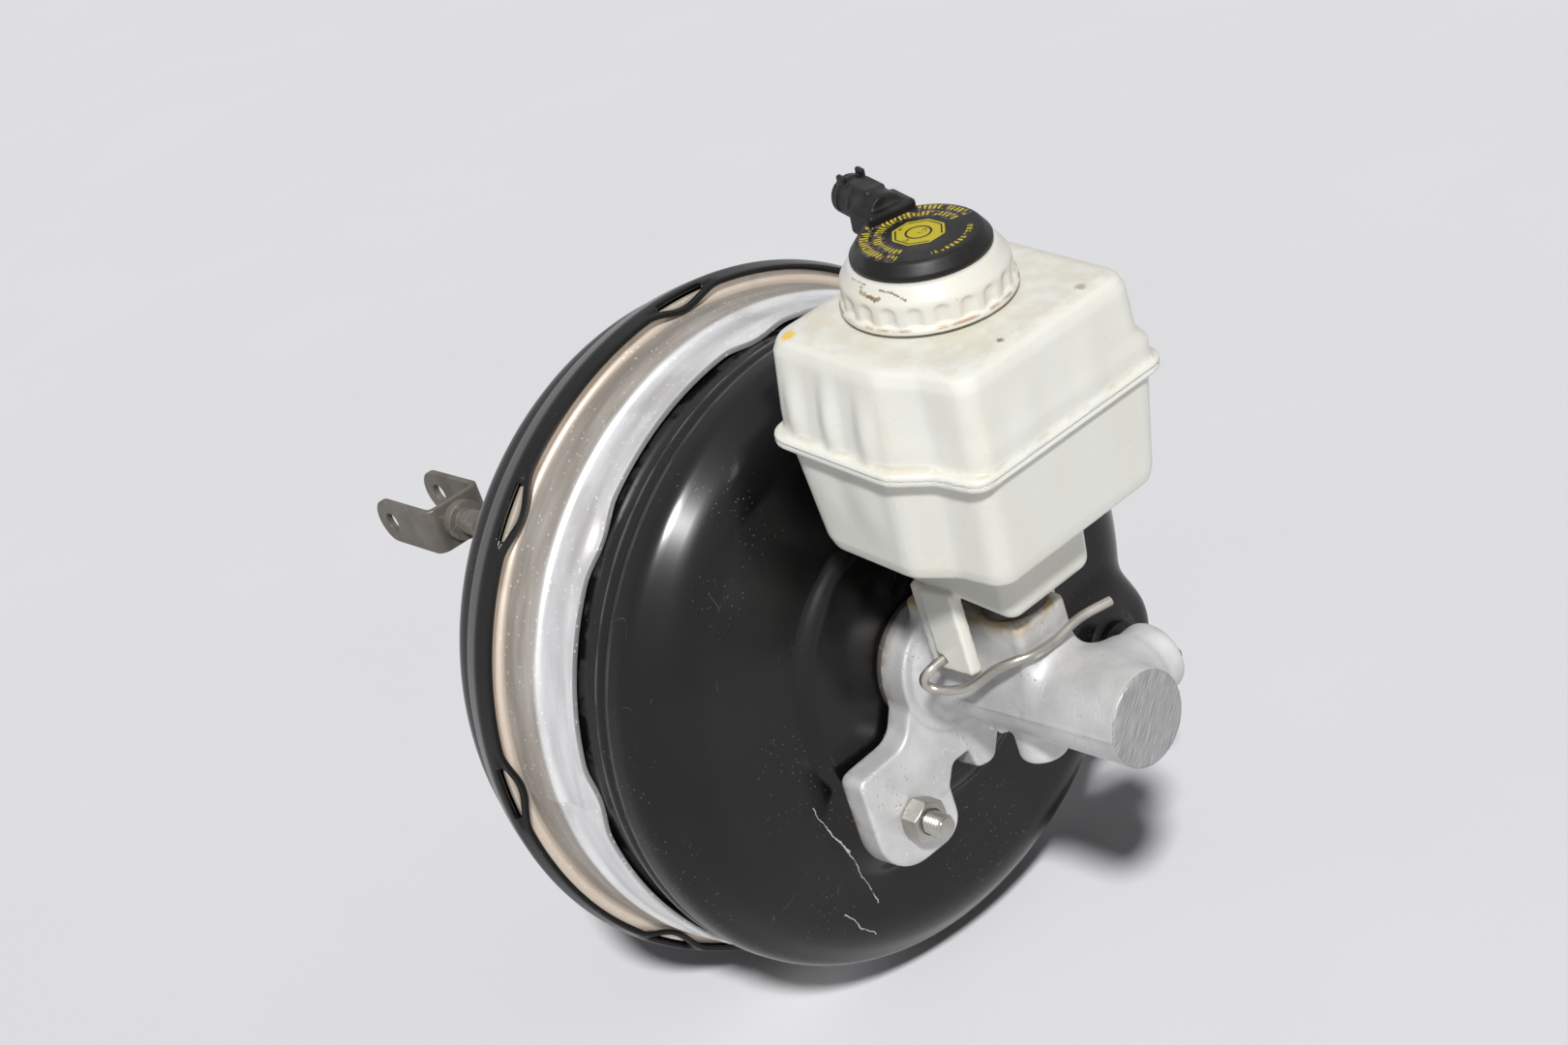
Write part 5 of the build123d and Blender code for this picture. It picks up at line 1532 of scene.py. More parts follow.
    def build(self) -> None:
        """Cast the body, then add the seal ring and the clip."""
        flange = self.flange()
        box = (123.5, -51.5, -58.5), (241.0, 51.5, 58.5)
        metal = self.materials[Slot.CAST_ALUMINIUM]
        casting = marched("cylinder_casting", lambda p: self.form(p, flange), box, self.step, metal)
        place(casting, Body.HOUSING, Slot.CAST_ALUMINIUM, "master_cylinder_body")
        outline = [(143.1, 17.3), (143.1, 22.5), (146.9, 22.5), (146.9, 17.3)]
        ring = Turned(outline, [0.2, 1.4, 1.4, 0.2], columns=120)
        seal = ring.build("flange_seal", self.materials[Slot.SEAL_RUBBER])
        place(seal, Body.HOUSING, Slot.SEAL_RUBBER, "master_cylinder_seal")
        knots = [(self.clip_x, y, self.clip_z) for y in (24, 10, -10, -22)] + [(178.8, -25.4, 18.5)]
        knots += [(176.9, -27.3, 16.2), (176, -26.6, 12.8), (178.3, -24.8, 10.7), (183.5, -22.8, 10.6)]
        knots += [(190, -20.9, 12.7), (198, -18, 18), (204.4, -14.8, 20.8), (208, -9, 21)]
        knots += [(208.2, 0, 20.4), (209.2, 11, 22), (212, 22, 22)]
        clip = Wire(1.5, spline(knots)).build("reservoir_wire", self.materials[Slot.CLIP_WIRE])
        place(clip, Body.HOUSING, Slot.CLIP_WIRE, "reservoir_clip")


# ---------------- reservoir
@dataclass
class Reservoir:
    """Two welded halves of the tank, leaning forward, with the foot, legs and neck."""

    materials: dict[Slot, Material]
    wall: float = 2.2
    weld: float = -46.4
    rim: float = 4.0
    top: float = -14.9
    floor: float = -85.3
    foot: float = -108.2
    step: float = 0.9
    legs: Flat = (172.0, 191.0)
    ribs: tuple = ((-19.0, 1.5), (-4.5, 2.0), (9.5, 1.5))

    def outline(self, sizes: Sequence[float]) -> Array:
        """Rounded outline at one level, with the wave beside its front corner."""
        back, front, left, right, jog = sizes[:5]
        knots = [(back, left), (front - 27, left), (front - 15, left + jog)]
        knots += [(front, left + jog + 2.5), (front, right), (back, right)]
        return rounded(knots, [7.5, 9, 8, 6.5, 7, 7], closed=True, turn=20)

    def leaned(self, x: Array, z: Array) -> tuple[Array, Array]:
        """Where x and z of the tank's own frame lie in the model."""
        a = math.radians(TANK_TILT)
        ahead = TANK_ORIGIN[0] + x * math.cos(a) + z * math.sin(a)
        return ahead, TANK_ORIGIN[2] - x * math.sin(a) + z * math.cos(a)

    def turned(self, points: Array) -> Array:
        """Points of the tank's own frame placed in the model."""
        x, z = self.leaned(points[:, 0], points[:, 2])
        return np.stack([x, points[:, 1], z], 1)

    def upright(self, p: Space) -> Space:
        """Points of the tank's own frame, measured in the model's frame."""
        x, z = self.leaned(p.x, p.z)
        return Space(x, p.y, z)

    def rimmed(self, form: Array, p: Space, edge: Outline) -> Array:
        """The form with the welded rim run into it."""
        return join(form, meet(edge.at(p.x, p.y), np.abs(p.z - self.weld) - self.rim / 2, 1.3), 1.6)

    def bulged(self, form: Array, p: Space, bulges: Iterable, middle: float, half: Flat) -> Array:
        """The form with shallow ribs pressed out of its left side.

        Args:
            form: Signed distance before.
            p: Points of the tank's own frame.
            bulges: Place along x and height of each rib.
            middle: Height of the ribs' middle.
            half: Half the width and half the length of a rib.

        Returns:
            Signed distance after.
        """
        side = np.clip((-p.y - 20) / 10, 0, 1)
        for x, high in bulges:
            form = form - high * bump(p.x, x, half[0]) * bump(p.z, middle, half[1]) * side
        return form

    def upper(self, p: Space, stack: Stack, edge: Outline) -> Array:
        """Crowned top, ribbed side, weld rim and filler neck."""
        outer = self.bulged(stack.at(p.x, p.y, p.z), p, self.ribs, -36.0, (5.5, 19.0))
        for y in (-12.0, 14.0):
            face = np.clip((p.x - 20) / 10, 0, 1)
            outer = outer - 0.5 * bump(p.y, y, 9) * bump(p.z, -36.0, 16.0) * face
        crown = p.z - self.top - 0.9 * bump(np.hypot(p.x, p.y), 0, 34)
        outer = meet(outer, crown, 2.2)
        made = self.rimmed(outer, p, edge)
        made = join(made, p.bar((0, 0, self.top - 4), (0, 0, -8.0), 17.6, 0.4), 1.6)
        made = cut(made, outer + self.wall, 0.3)
        made = cut(made, p.bar((0, 0, self.top - 8), (0, 0, 0), 15.0), 0.3)
        return np.maximum(made, self.weld + 0.05 - p.z)

    def lower(self, p: Space, stack: Stack, edge: Outline) -> Array:
        """Rounded floor, weld rim, foot, legs for the clip and nipples."""
        outer = meet(stack.at(p.x, p.y, p.z), self.floor - p.z, 3.0)
        outer = self.bulged(outer, p, ((-14.0, 0.5), (3.0, 0.5)), -62.0, (9.0, 16.0))
        made = self.rimmed(outer, p, edge)
        foot = p.block((-25.3, -18.1, self.foot), (30.2, 18.1, self.floor + 6), 5.0)
        made = join(made, foot, 2.2)
        made = cut(made, outer + self.wall, 0.3)
        made = cut(made, foot + self.wall, 0.3)
        model = self.upright(p)
        for side in (-1, 1):
            for near, far, start in ((16.0, 18.5, self.legs[0]), (16.0, 20.1, self.legs[0] + 5)):
                y_low, y_high = sorted((side * near, side * far))
                leg = model.block((start, y_low, 15.5), (self.legs[1], y_high, 44.0), 0.7)
                made = join(made, leg, 0.8)
            made = cut(made, model.bar((179, side * 12, 19), (179, side * 26, 19), 1.8), 0.4)
        for x in SOCKETS_X:
            made = join(made, model.bar((x, 0, 24.5), (x, 0, 44.5), 5.2, 0.6), 1.0)
            made = cut(made, model.bar((x, 0, 23), (x, 0, 47), 3.4), 0.3)
        return np.maximum(made, p.z - self.weld + 0.05)

    def build(self) -> None:
        """Mould both halves and put them in their leaning place."""
        weld, top, floor = self.weld, self.top, self.floor
        upper = [
            (-30.0, 43.8, -41.8, 43.6, 7.0, weld - 4.0),
            (-30.0, 43.6, -41.3, 43.0, 7.0, -38.5),
            (-29.9, 43.0, -40.9, 39.4, 6.8, -34.0),
            (-29.8, 42.0, -39.4, 38.4, 5.5, top - 5.0),
            (-28.6, 40.8, -38.0, 37.2, 5.0, top - 1.6),
            (-24.4, 36.6, -33.6, 33.0, 5.0, top + 1.0),
        ]
        lower = [
            (-19.6, 38.8, -36.4, 36.4, 7.0, floor),
            (-22.0, 41.2, -38.8, 38.8, 7.2, floor + 1.6),
            (-23.4, 41.9, -39.8, 39.8, 7.4, floor + 5.5),
            (-28.8, 43.6, -42.0, 42.0, 7.5, weld + 3.0),
        ]
        edge = Outline(self.outline((-31.0, 45.2, -45.0, 45.0, 7.5)), step=0.5)
        top_box = (-33.0, -47.0, weld - 1.5), (47.0, 47.0, -6.0)
        base_box = (-33.0, -47.0, -137.0), (47.0, 47.0, weld + 1.5)
        material = self.materials[Slot.MILKY_PLASTIC]
        for name, form, levels, box, node in (
            ("tank_top", self.upper, upper, top_box, "reservoir_upper"),
            ("tank_base", self.lower, lower, base_box, "reservoir_lower"),
        ):
            stack = Stack(levels, self.outline)
            shape = partial(form, stack=stack, edge=edge)
            half = marched(name, shape, box, self.step, material, turn=self.turned)
            place(half, Body.HOUSING, Slot.MILKY_PLASTIC, node)


@dataclass
class FillerCap:
    """Screw ring with arched grips and sensor cap with its plug."""

    materials: dict[Slot, Material]
    tank: Reservoir
    disc: float = 20.3
    ring_r: float = 25.6
    ring_low: float = -13.6
    grips: int = 20
    neck: float = 17.6
    plug_turn: float = 12.5
    plug_r: float = 6.0
    plug_z: float = 6.2

    def ring(self, p: Space, section: Outline) -> Array:
        """The ring with a scalloped skirt."""
        reach = np.hypot(p.x, p.y)
        made = section.at(reach, p.z)
        pitch = 2 * math.pi / self.grips
        turn = (np.arctan2(p.y, p.x) + pitch / 2) % pitch - pitch / 2
        x, y = reach * np.cos(turn), reach * np.sin(turn)
        grip = Space(x, y, p.z).bar((27.1, 0, -20), (27.1, 0, -5.2), 3.7, 2.6)
        grip = np.maximum(grip, -11.3 - p.z)
        return cut(made, grip, 0.5)

    def cap(self, p: Space) -> Array:
        """Disc, plug body with its hooks, skirt and sensor stem."""
        a = -math.radians(self.plug_turn)
        q = Space(p.x * math.cos(a) + p.y * math.sin(a), -p.x * math.sin(a) + p.y * math.cos(a), p.z)
        reach = np.hypot(p.x, p.y)
        wall = (reach - self.disc + np.clip(p.z - 1.5, 0, 4) * 0.74) * 0.88
        disc = meet(wall, np.abs(p.z - 2.5) - 2.5, 0.9)
        housing = q.block((-24, -8, 0.4), (-12, 8, 8.6), 1.2)
        barrel = q.bar((-15, 0, self.plug_z), (-36.5, 0, self.plug_z), self.plug_r, 0.5)
        made = join(disc, join(housing, barrel, 1.2), 0.8)
        for x in (-33.2, -27.0):
            band = q.bar((x - 0.7, 0, self.plug_z), (x + 0.7, 0, self.plug_z), self.plug_r + 0.35, 0.3)
            made = join(made, np.maximum(band, 4.2 - p.z), 0.3)
        made = join(made, q.block((-30, -3.4, 10.5), (-20, 3.4, 12.6), 0.6), 0.6)
        for side in (-1, 1):
            hook = q.block((-34.8, side * 3.2 - 0.8, 9.5), (-31.2, side * 3.2 + 0.8, 13.9), 0.5)
            made = join(made, hook, 0.5)
        made = cut(made, q.bar((-27.5, 0, self.plug_z), (-40, 0, self.plug_z), self.plug_r - 1.3, 0.3), 0.3)
        made = join(made, p.bar((0, 0, -11), (0, 0, 1), 13.0), 0.4)
        made = join(made, p.bar((0, 0, -4.8), (0, 0, -3.3), self.neck - 0.3, 0.2), 0.2)
        made = join(made, p.bar((0, 0, -78), (0, 0, 0), 3.6), 0.4)
        made = join(made, p.bar((0, 0, -78), (0, 0, -75), 6.0, 0.3), 0.2)
        half = 0.55
        for y in (-2, 2):
            low = (-34.5, y - half, self.plug_z - half)
            made = cut(made, q.block(low, (-24.5, y + half, self.plug_z + half)))
        return made

    def build(self) -> None:
        """Mould the ring and the cap."""
        bore = self.neck + 0.6
        corners = [(13.6, -0.3), (21, -0.3), (24.4, -5), (24.5, -11.6), (self.ring_r, -12)]
        corners += [(self.ring_r, self.ring_low), (bore, self.ring_low), (bore, -3), (13.6, -3)]
        radii = [0.3, 1.6, 3.4, 0.5, 0.4, 0.4, 0.2, 0.2, 0.2]
        section = Outline(rounded(corners, radii, closed=True), step=0.2)
        form, box = partial(self.ring, section=section), ((-27, -27, -14.6), (27, 27, 0.7))
        material = self.materials[Slot.RING_PLASTIC]
        ring = marched("screw_ring", form, box, 0.5, material, turn=self.tank.turned)
        place(ring, Body.CAP_RING, Slot.RING_PLASTIC, "cap_ring")
        box = (-38.5, -21.5, -79.2), (21.5, 21.5, 15.2)
        material = self.materials[Slot.CAP_PLASTIC]
        cap = marched("level_sensor_cap", self.cap, box, 0.55, material, turn=self.tank.turned)
        place(cap, Body.SENSOR_CAP, Slot.CAP_PLASTIC, "sensor_cap")


# ---------------- pedal end and soft pieces
@dataclass
class PedalRod:
    """Clevis bent from strip, the rod and its rubber bellows."""

    materials: dict[Slot, Material]
    base: float = -136.0
    strip: float = 3.0
    gap: float = 22.0
    height: float = 20.0
    pin: float = -170.0
    pin_r: float = 4.25
    rod_r: float = 5.25
    ball_r: float = 5.0
    skirt_r: float = 66.5
    skirt_wall: float = 1.0

    def fork(self, p: Space, bent: Outline) -> Array:
        """The bent strip with its rounded tips and cross hole."""
        made = meet(bent.at(p.x, p.y), np.abs(p.z) - self.height / 2, 0.7)
        tip = np.hypot(np.minimum(p.x - self.pin + 1, 0), p.z) - self.height / 2
        made = meet(made, tip, 0.5)
        made = cut(made, p.bar((self.pin, -20, 0), (self.pin, 20, 0), self.pin_r), 0.5)
        return cut(made, p.bar((-150, 0, 0), (-130, 0, 0), 5.3), 0.3)

    def build(self) -> None:
        """Bend the clevis, turn the rod and mould the bellows."""
        half, tip = self.gap / 2 + self.strip, self.pin - self.height / 2 - 1
        free, inner = self.gap / 2, self.base - self.strip
        outside = rounded([(tip, half), (self.base, half), (self.base, -half), (tip, -half)], [5, 5])
        inside = rounded([(tip, free), (inner, free), (inner, -free), (tip, -free)], [2, 2])
        bent = Outline(np.vstack([outside, inside[::-1]]), step=0.25)
        form, box = partial(self.fork, bent=bent), ((-182.5, -15.2, -11.2), (-134.5, 15.2, 11.2))
        steel = self.materials[Slot.PHOSPHATED_STEEL]
        clevis = marched("pedal_clevis", form, box, 0.5, steel, sharp=42)
        place(clevis, Body.PEDAL_ROD, Slot.PHOSPHATED_STEEL, "clevis")
        r = self.rod_r
        outline = [(-142, 0), (-142, 4.6), (-141.4, r), (-139.1, 7.4), (-139.1, r), (-135.9, r)]
        outline += [(-135.9, 9), (-132, 8.2), (-132, r), (-34, r), (-34, 8), (-32.7, 8)]
        outline += [(-32.7, 4.25), (-28, 3.6), (8.6, 3.6)]
        for a in np.radians(np.arange(50, 180, 10)):
            outline += [(BALL_X - self.ball_r * math.cos(a), self.ball_r * math.sin(a))]
        outline += [(BALL_X + self.ball_r, 0)]
        rod = Turned(outline, columns=64, edge=0.3).build("pedal_rod_bar", steel)
        place(rod, Body.PEDAL_ROD, Slot.PHOSPHATED_STEEL, "input_rod")
        self.bellows()

    def dished(self, radius: float, reach: float) -> Flat:
        """A point of a dish round the rod's ball, at its reach from the axis."""
        return BALL_X - math.sqrt(radius**2 - reach * reach), reach

    def bellows(self) -> None:
        """The pleated boot and its collar on the rod."""
        knots = [(-3, 27.3), (-18.2, 27.3), (-21.5, 23), (-25, 28), (-29.5, 22.6), (-34, 27.2)]
        knots += [(-38.5, 22.2), (-43, 26.4), (-47.5, 21.8), (-52, 24), (-57.5, 10.4)]
        path = divided(rounded(knots, [1.8] * 9, turn=22), 2.0)
        rubber = self.materials[Slot.RUBBER_BLACK]
        boot = walled(revolved("pedal_boot", path, 128, rubber), 1.2, 1)
        boot = cleaned(settled(boot), 60)
        place(boot, Body.HOUSING, Slot.RUBBER_BLACK, "dust_boot")
        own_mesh(boot)
        outline = [(-70, 5.27), (-70, 6.9), (-62.4, 7.4), (-61, 6.2), (-60.6, 5.6), (-54.2, 5.6)]
        steps = (7.6, 9.6, 11.4, 13.0, 14.6)
        outline += [self.dished(self.skirt_r, r) for r in steps]
        outline += [self.dished(self.skirt_r - self.skirt_wall, r) for r in (*steps[::-1], 5.27)]
        collar = Turned(outline, columns=96, edge=0.2).build("boot_collar", rubber)
        place(collar, Body.PEDAL_ROD, Slot.RUBBER_BLACK)


@dataclass
class Seals:
    """Rubber rings and diaphragms, the check valve and its grommet."""

    materials: dict[Slot, Material]

    def turned(self, node: str, outline: Knots, slot: Slot, body: Body, **sizes: object) -> Object:
        """One turned piece in place of a node."""
        piece = Turned(outline, **sizes).build(f"{node}_moulded", self.materials[slot])
        return place(piece, body, slot, node)

    def valve(self) -> None:
        """Check valve with its plain nozzle in a rubber grommet."""
        t, side = TURRET_X, {"centre": TURRET}
        outline = [(t - 3.6, 7), (t - 3.6, 11.5), (t - 1.9, 11.5), (t - 1.9, 9.9), (t + 0.1, 9.9)]
        outline += [(t + 0.1, 12.5), (t + 3, 12.5), (t + 3, 7)]
        side["radii"] = [0.2, 0.8, 0.1, 0.1, 0.1, 1.0, 1.3, 0.6]
        self.turned("vacuum_grommet", outline, Slot.SEAL_RUBBER, Body.HOUSING, **side)
        outline = [(t - 4.4, 4), (t - 4.4, 6.95), (t + 3.3, 6.95), (t + 3.3, 8.5), (t + 6, 8.5)]
        outline += [(t + 6, 4.6), (t + 24, 4.6), (t + 30, 4.0), (t + 30, 2.6), (t + 6, 2.6), (t + 6, 4)]
        self.turned("check_valve", outline, Slot.CAP_PLASTIC, Body.CHECK_VALVE, centre=TURRET)

    def rings(self) -> None:
        """Neck seal, divider seal and both reservoir grommets."""
        outline = [(-13, 19.05), (-13, 24.0), (-3, 24.0), (-3, 22.4), (-6, 21.05)]
        outline += [(-9.5, 20.65), (-9.5, 19.05)]
        self.turned("neck_seal", outline, Slot.SEAL_RUBBER, Body.HOUSING)
        outline = [(78.5, 24.05), (78.5, 31.3), (80.9, 31.3), (80.9, 28.3), (82.6, 28.3), (82.6, 31.3)]
        outline += [(85, 31.3), (86, 26.05), (86, 24.05)]
        self.turned("divider_seal", outline, Slot.SEAL_RUBBER, Body.HOUSING)
        outline = [(22.5, 5.3), (22.5, 7.9), (30.6, 7.9), (30.6, 10.2), (35.5, 10.2), (35.5, 5.3)]
        shape = Turned(outline, [0.2, 0.4, 0.2, 0.9, 1.2, 0.3])
        rubber = self.materials[Slot.SEAL_RUBBER]
        upright = Matrix.Rotation(-math.pi / 2, 4, "Y")
        grommets = []
        for x in SOCKETS_X:
            piece = shape.build("grommet", rubber)
            piece.data.transform(Matrix.Translation((x * MM, 0, 0)) @ upright)
            grommets.append(piece)
        pair = self.merged("reservoir_grommets_moulded", grommets, rubber)
        place(pair, Body.HOUSING, Slot.SEAL_RUBBER, "reservoir_grommets")

    def cores(self) -> None:
        """Poppet, reaction disc, piston cups, air filter and the cap's gasket."""
        outline = [(-15, 6.6), (-15, 15.1), (-13, 15.1), (-13, 11), (-9, 10.4), (-5, 11), (-1, 10.4)]
        outline += [(3, 11), (3, 12.7), (5.8, 12.7), (5.8, 6.3), (3.2, 6.3), (3.2, 9.4), (-1, 9.2)]
        outline += [(-5, 9.8), (-9, 9.2), (-13, 9.8), (-13, 6.6)]
        poppet = self.turned("valve_poppet", outline, Slot.RUBBER_BLACK, Body.POWER_PISTON)
        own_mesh(poppet)
        outline = [(56.1, 0), (56.1, 13.8), (60, 13.8), (60, 0)]
        self.turned("reaction_disc", outline, Slot.RUBBER_BLACK, Body.POWER_PISTON, radii=[0, 0.8, 0.8, 0])
        outline = [(-45.4, 9.1), (-45.4, 15.3), (-37.1, 15.3), (-37.1, 9.1)]
        self.turned("air_filter", outline, Slot.FILTER_FOAM, Body.POWER_PISTON, radii=[0.6, 1.2, 1.2, 0.6])
        rubber = self.materials[Slot.RUBBER_BLACK]
        for node, starts, body in (
            ("primary_cup", [152.0], Body.PRIMARY_PISTON),
            ("secondary_cups", [180.0, 202.0], Body.SECONDARY_PISTON),
        ):
            pieces = [Turned(self.cup(x), columns=72, edge=0.15).build("cup", rubber) for x in starts]
            place(self.merged(f"{node}_moulded", pieces, rubber), body, Slot.RUBBER_BLACK, node)
        low = -6.98
        outline = [(low, 14.95), (low, 17.25), (-4.95, 17.25), (-4.95, 14.95)]
        gasket = Turned(outline, [0.3] * 4).build("cap_gasket_moulded", rubber)
        upright = Matrix.Rotation(math.radians(TANK_TILT) - math.pi / 2, 4, "Y")
        gasket.data.transform(Matrix.Translation(Vector(TANK_ORIGIN) * MM) @ upright)
        place(gasket, Body.SENSOR_CAP, Slot.RUBBER_BLACK, "cap_gasket")

    def cup(self, x: float) -> Knots:
        """Section of one lip seal whose rear face is at x."""
        heel = [(x + 0.15, 8.75), (x + 0.15, 10.6), (x + 2.2, 10.7)]
        return heel + [(x + 3.85, 11.03), (x + 3.85, 10.2), (x + 1.65, 9.8), (x + 1.65, 8.75)]

    def merged(self, name: str, pieces: list[Object], material: Material) -> Object:
        """One mesh made of several turned pieces."""
        whole = mesh_object(name, np.zeros((0, 3)), [], material)
        mesh = bmesh.new()
        for piece in pieces:
            mesh.from_mesh(piece.data)
            bpy.data.objects.remove(piece)
        mesh.to_mesh(whole.data)
        mesh.free()
        return cleaned(whole)

    def diaphragms(self) -> None:
        """Both rolling diaphragms, thin sheets with a bead."""
        path = [(35.2, 19.1), (40.2, 19.2), (40.2, 91.0), (51.8, 99.0), (48.5, 109.1), (64.7, 113.1)]
        path += [(67.7, 115.0)]
        self.sheet("rear_diaphragm", path, [0.8, 5, 3, 3, 1.5])
        path = [(88.1, 24.1), (92.0, 24.2), (92.0, 82.0), (101.8, 91.5), (98.2, 99.3), (94.9, 102.8)]
        path += [(96.6, 106.5)]
        self.sheet("front_diaphragm", path, [0.8, 5, 2.5, 2, 1.5])

    def sheet(self, node: str, path: Knots, radii: Sequence[float]) -> None:
        """A moulded sheet turned about the axis.

        Args:
            node: Node it stands in for.
            path: Corners of its middle line, hub first, bead last.
            radii: Rounding of the corners between.
        """
        line = divided(rounded(path, radii, turn=20), 3.0)
        piece = revolved(f"{node}_sheet", line, 160, self.materials[Slot.RUBBER_BLACK])
        piece = cleaned(settled(walled(piece, 1.3, 0)), 60)
        place(piece, Body.HOUSING, Slot.RUBBER_BLACK, node)
        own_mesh(piece)

    def build(self) -> None:
        """Build every seal."""
        self.valve()
        self.rings()
        self.cores()
        self.diaphragms()


@dataclass
class Springs:
    """The five wound springs."""

    material: Material

    def build(self) -> None:
        """Wind and place them."""
        housing, valve, floating = Body.HOUSING, Body.POWER_PISTON, Body.SECONDARY_PISTON
        for node, coil, body, joint, keep in (
            ("main_return_spring", Coil(94, 141.1, 26.8, 36, 1.8, 4.5), housing, "power_stroke", 0.363),
            ("poppet_spring", Coil(-12.8, 2.8, 8.7, 8.7, 0.6, 5), valve, "air_valve_lift", 0.9),
            ("rod_return_spring", Coil(-31.8, -15.2, 7.2, 7.2, 0.8, 5), valve, "air_valve_lift", 0.9),
            ("primary_spring", Coil(146.1, 176.9, 6, 6, 0.8, 7), floating, "primary_stroke", 0.513),
            ("secondary_spring", Coil(196.1, 230.9, 6, 6, 0.8, 7), housing, "secondary_stroke", 0.569),
        ):
            spring = cleaned(coil.build(f"{node}_wire", self.material), 60)
            place(spring, body, Slot.SPRING_STEEL, node)
            coil.end * MM
            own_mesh(spring)


# ---------------- studio
@dataclass
class Studio:
    """Pale floor, soft light and the camera."""

    width: int = 1620
    focal_pixels: float = 2400.0
    eye: Point = (672.548848, -387.379853, 368.089265)
    right: Point = (0.638441, 0.712693, -0.290622)
    down: Point = (0.157219, -0.49039, -0.857205)
    ahead: Point = (-0.753442, 0.501583, -0.425134)
    floor_colour: Colour = (0.78, 0.78, 0.80, 1.0)
    sky_colour: Colour = (0.82, 0.83, 0.86, 1.0)
    sky_strength: float = 0.14
    backdrop_colour: Colour = (0.70, 0.70, 0.72, 1.0)
    floor_reach: float = 12000.0
    key_source: Point = (576.0, -388.0, 719.0)
    key_spread: float = 0.1
    key_power: float = 3.6

    def camera(self) -> None:
        """Set the camera from its measured place and turn."""
        data = bpy.data.cameras.new("camera")
        data.sensor_width = 36.0
        data.lens = self.focal_pixels / self.width * data.sensor_width
        data.clip_start, data.clip_end = 0.01, 50
        camera = bpy.data.objects.new("camera", data)
        axes = (self.right, [-c for c in self.down], [-c for c in self.ahead])
        turn = Matrix(axes).transposed().to_4x4()
        camera.matrix_world = Matrix.Translation(Vector(self.eye) * MM) @ turn
        bpy.context.scene.collection.objects.link(camera)
        bpy.context.scene.camera = camera

    def floor(self, height: float) -> None:
        """A broad plain floor just under the object."""
        shade = Shade("floor_paper")
        mottle = shade.fade(shade.noise(6, 3), 0.3, 0.7)
        dark = tuple(c * 0.985 for c in self.floor_colour[:3]) + (1.0,)
        colour = shade.blend(dark, self.floor_colour, mottle)
        paper = shade.node("ShaderNodeBsdfDiffuse", inputs={"Color": colour})
        shade.node("ShaderNodeOutputMaterial", inputs={"Surface": paper})
        sides = ((-1, -1), (1, -1), (1, 1), (-1, 1))
        corners = np.array([(x * self.floor_reach, y * self.floor_reach, height) for x, y in sides])
        mesh_object("floor", corners, [(0, 1, 2, 3)], shade.material)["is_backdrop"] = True

    def lamp(self) -> None:
        """A far soft lamp that shines from one direction."""
        data = bpy.data.lights.new("key", "SUN")
        data.angle, data.energy = self.key_spread, self.key_power
        lamp = bpy.data.objects.new("key", data)
        lamp.location = Vector(self.key_source) * MM
        lamp.rotation_mode = "QUATERNION"
        lamp.rotation_quaternion = Vector(self.key_source).to_track_quat("Z", "Y")
        bpy.context.scene.collection.objects.link(lamp)

    def surround(self) -> bpy.types.World:
        """A dim even light all round, seen and mirrored as pale as the floor."""
        world = bpy.data.worlds.new("studio")
        world.use_nodes = True
        world.node_tree.nodes.clear()
        graph = Graph(world.node_tree)
        path = graph.node("ShaderNodeLightPath")
        kinds = ("Is Camera Ray", "Is Glossy Ray", "Is Transmission Ray")
        shown = graph.most(*(path.output(kind) for kind in kinds))
        inputs = {"Color": self.sky_colour, "Strength": self.sky_strength}
        dim = graph.node("ShaderNodeBackground", inputs=inputs)
        pale = graph.node("ShaderNodeBackground", inputs={"Color": self.backdrop_colour})
        mixed = graph.node("ShaderNodeMixShader", inputs={0: shown, 1: dim, 2: pale})
        graph.node("ShaderNodeOutputWorld", inputs={"Surface": mixed})
        return world

    def build(self, floor_height: float) -> None:
        """Put up floor, lamp, world and camera."""
        scene = bpy.context.scene
        scene.view_settings.view_transform = "Standard"
        scene.world = self.surround()
        self.floor(floor_height)
        self.lamp()
        self.camera()


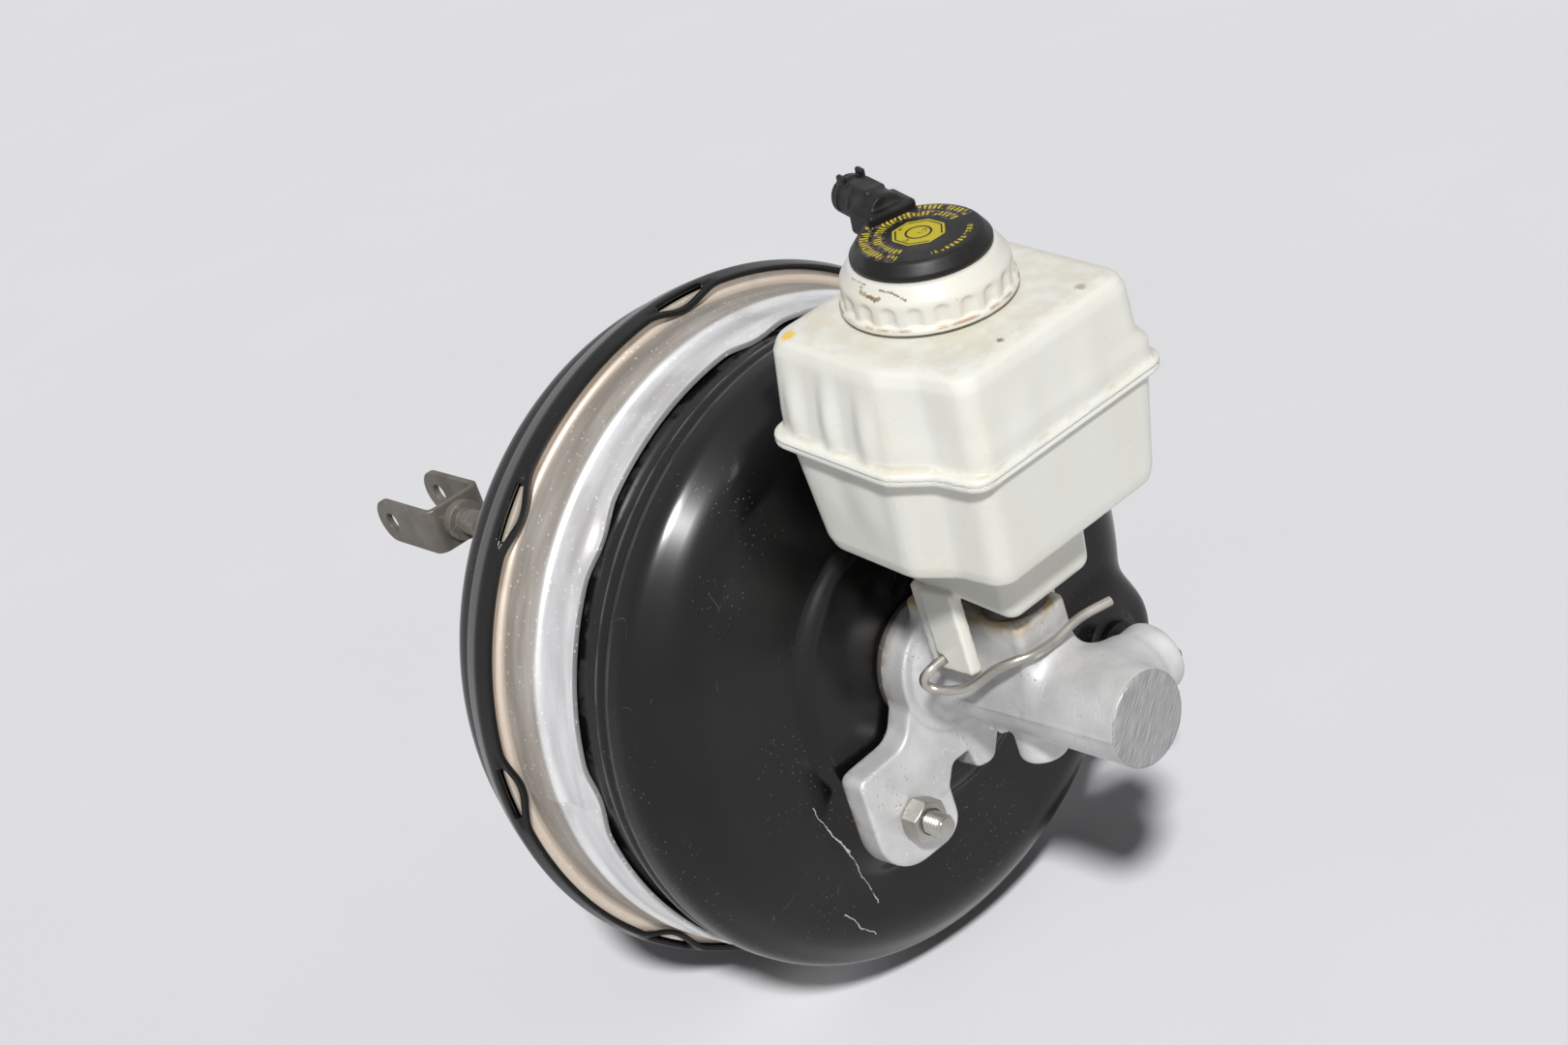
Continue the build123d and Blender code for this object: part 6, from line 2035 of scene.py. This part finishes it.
def finishes() -> dict[Slot, Material]:
    """One material for every slot of the record."""
    brown, rust = (0.2, 0.12, 0.05, 1.0), (0.33, 0.24, 0.13, 1.0)
    stains = (
        Mark(((175.5, -35.3, 137.7),), 3.4, (0.85, 0.55, 0.02, 1.0)),
        Mark(((233.1, -10.0, 129.3),), 1.6, brown),
        Mark(((233.5, 22.7, 129.3),), 2.3, (0.4, 0.37, 0.26, 1.0)),
        Mark(((243.0, 20.9, 121.0),), 1.2, brown),
    )
    run = ((197.2, -22.2, 146.8), (197.3, -22.8, 145.8), (200.0, -23.2, 145.0), (202.4, -23.1, 144.6))
    smear = ((204.0, -21.4, 146.3), (207.2, -20.7, 145.5), (209.2, -20.3, 144.6), (211.3, -19.9, 143.2))
    rubbed = (
        Mark(((192.1, -20.3, 148.3), (198.3, -21.5, 147.6)), 0.35, brown),
        Mark(run, 0.9, rust),
        Mark(((200.0, -23.2, 145.0), (203.1, -23.3, 144.0), (204.0, -22.7, 144.5)), 0.8, brown),
        Mark(smear, 0.5, brown),
    )
    seams = (
        Seam(-48.9, 1.1, (0.42, 0.33, 0.17, 1.0), 0.55),
        Seam(-43.9, 0.8, (0.5, 0.42, 0.26, 1.0), 0.4),
        Seam(-15.2, 0.9, (0.5, 0.4, 0.22, 1.0), 0.22),
    )
    foot = (Seam(-12.1, 0.45, (0.3, 0.14, 0.06, 1.0), 0.75),)
    glow = {"Subsurface Weight": 0.3, "Subsurface Radius": (1.0, 0.9, 0.6), "Subsurface Scale": 0.004}
    dull = {"Specular IOR Level": 0.28}
    gloss = {"Specular IOR Level": 0.05, "Coat Weight": 0.7, "Coat Roughness": 0.2}
    made = [
        BlackPaint(Slot.BLACK_SHELL, grey(0.0022), 0.5, depth=0.00003, sockets=gloss),
        RolledAluminium(Slot.SHELL_ALUMINIUM, depth=0.00003),
        CastAluminium(Slot.CAST_ALUMINIUM, grey(0.55), 0.5, 0.34, depth=0.00016),
        Finish(Slot.ZINC_STEEL, (0.44, 0.425, 0.385, 1), 0.3, 0.9),
        Finish(Slot.PHOSPHATED_STEEL, (0.15, 0.135, 0.115, 1), 0.5, 0.45, depth=0.00006, wear=0.15),
        Finish(Slot.SPRING_STEEL, grey(0.28), 0.4, 0.85),
        Finish(Slot.CLIP_WIRE, (0.5, 0.475, 0.43, 1), 0.34, 0.85),
        Finish(Slot.PRESSED_STEEL, (0.55, 0.5, 0.38, 1), 0.38, 0.85),
        Finish(Slot.PISTON_ALUMINIUM, grey(0.6), 0.3, 0.9),
        Finish(Slot.RUBBER_BLACK, grey(0.022, 0.05), 0.66, depth=0.00006, wear=0.05),
        Finish(Slot.SEAL_RUBBER, (0.03, 0.026, 0.022, 1), 0.6, depth=0.00006, spread=0.2, wear=0.1),
        Finish(Slot.VALVE_BODY, (0.035, 0.03, 0.028, 1), 0.45),
        MilkyPlastic(
            Slot.MILKY_PLASTIC, (0.75, 0.75, 0.69, 1), 0.3, depth=0.0001,
            tint=(0.72, 0.68, 0.56, 1.0), marks=stains, seams=seams, sockets=glow,
        ),
        MilkyPlastic(
            Slot.RING_PLASTIC, (0.72, 0.705, 0.65, 1), 0.32, depth=0.00006,
            marks=rubbed, seams=foot, sockets=glow,
        ),
        PrintedCap(Slot.CAP_PLASTIC, grey(0.007, 0.03), 0.46, sockets=dull),
        Finish(Slot.FILTER_FOAM, grey(0.05), 0.9, depth=0.0004, grain=1400),
        Finish(Slot.CONTACT_BRASS, (0.6, 0.42, 0.14, 1), 0.3, 0.95),
    ]
    return {finish.slot: finish.make() for finish in made}


def dress_nodes(materials: dict[Slot, Material]) -> None:
    """Give every CAD node that stays the finish of its slot."""
    slots = {part["node"]: part["material_slot"] for part in frame["record"]["subparts"]}
    for name, obj in frame["nodes"].items():
        material = materials[Slot(slots[name])]
        if not obj.data.materials:
            obj.data.materials.append(material)
        for spot in obj.material_slots:
            spot.material = material


def main() -> None:
    """Build the booster's visible pieces in order, then the studio."""
    logging.basicConfig(level=logging.INFO, format="%(message)s")
    cad_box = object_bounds()
    materials = finishes()
    dress_nodes(materials)
    housing = Housing(materials)
    housing.rear()
    housing.centre()
    FrontShell(materials[Slot.BLACK_SHELL]).build()
    Fasteners(materials[Slot.ZINC_STEEL]).build()
    MasterCylinder(materials).build()
    tank = Reservoir(materials)
    tank.build()
    FillerCap(materials, tank).build()
    PedalRod(materials).build()
    Seals(materials).build()
    Springs(materials[Slot.SPRING_STEEL]).build()
    Studio().build(cad_box[0].z / MM)
    boxes = {"cad": cad_box, "visual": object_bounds()}
    {key: [list(corner) for corner in box] for key, box in boxes.items()}


if __name__ == "__main__":
    main()
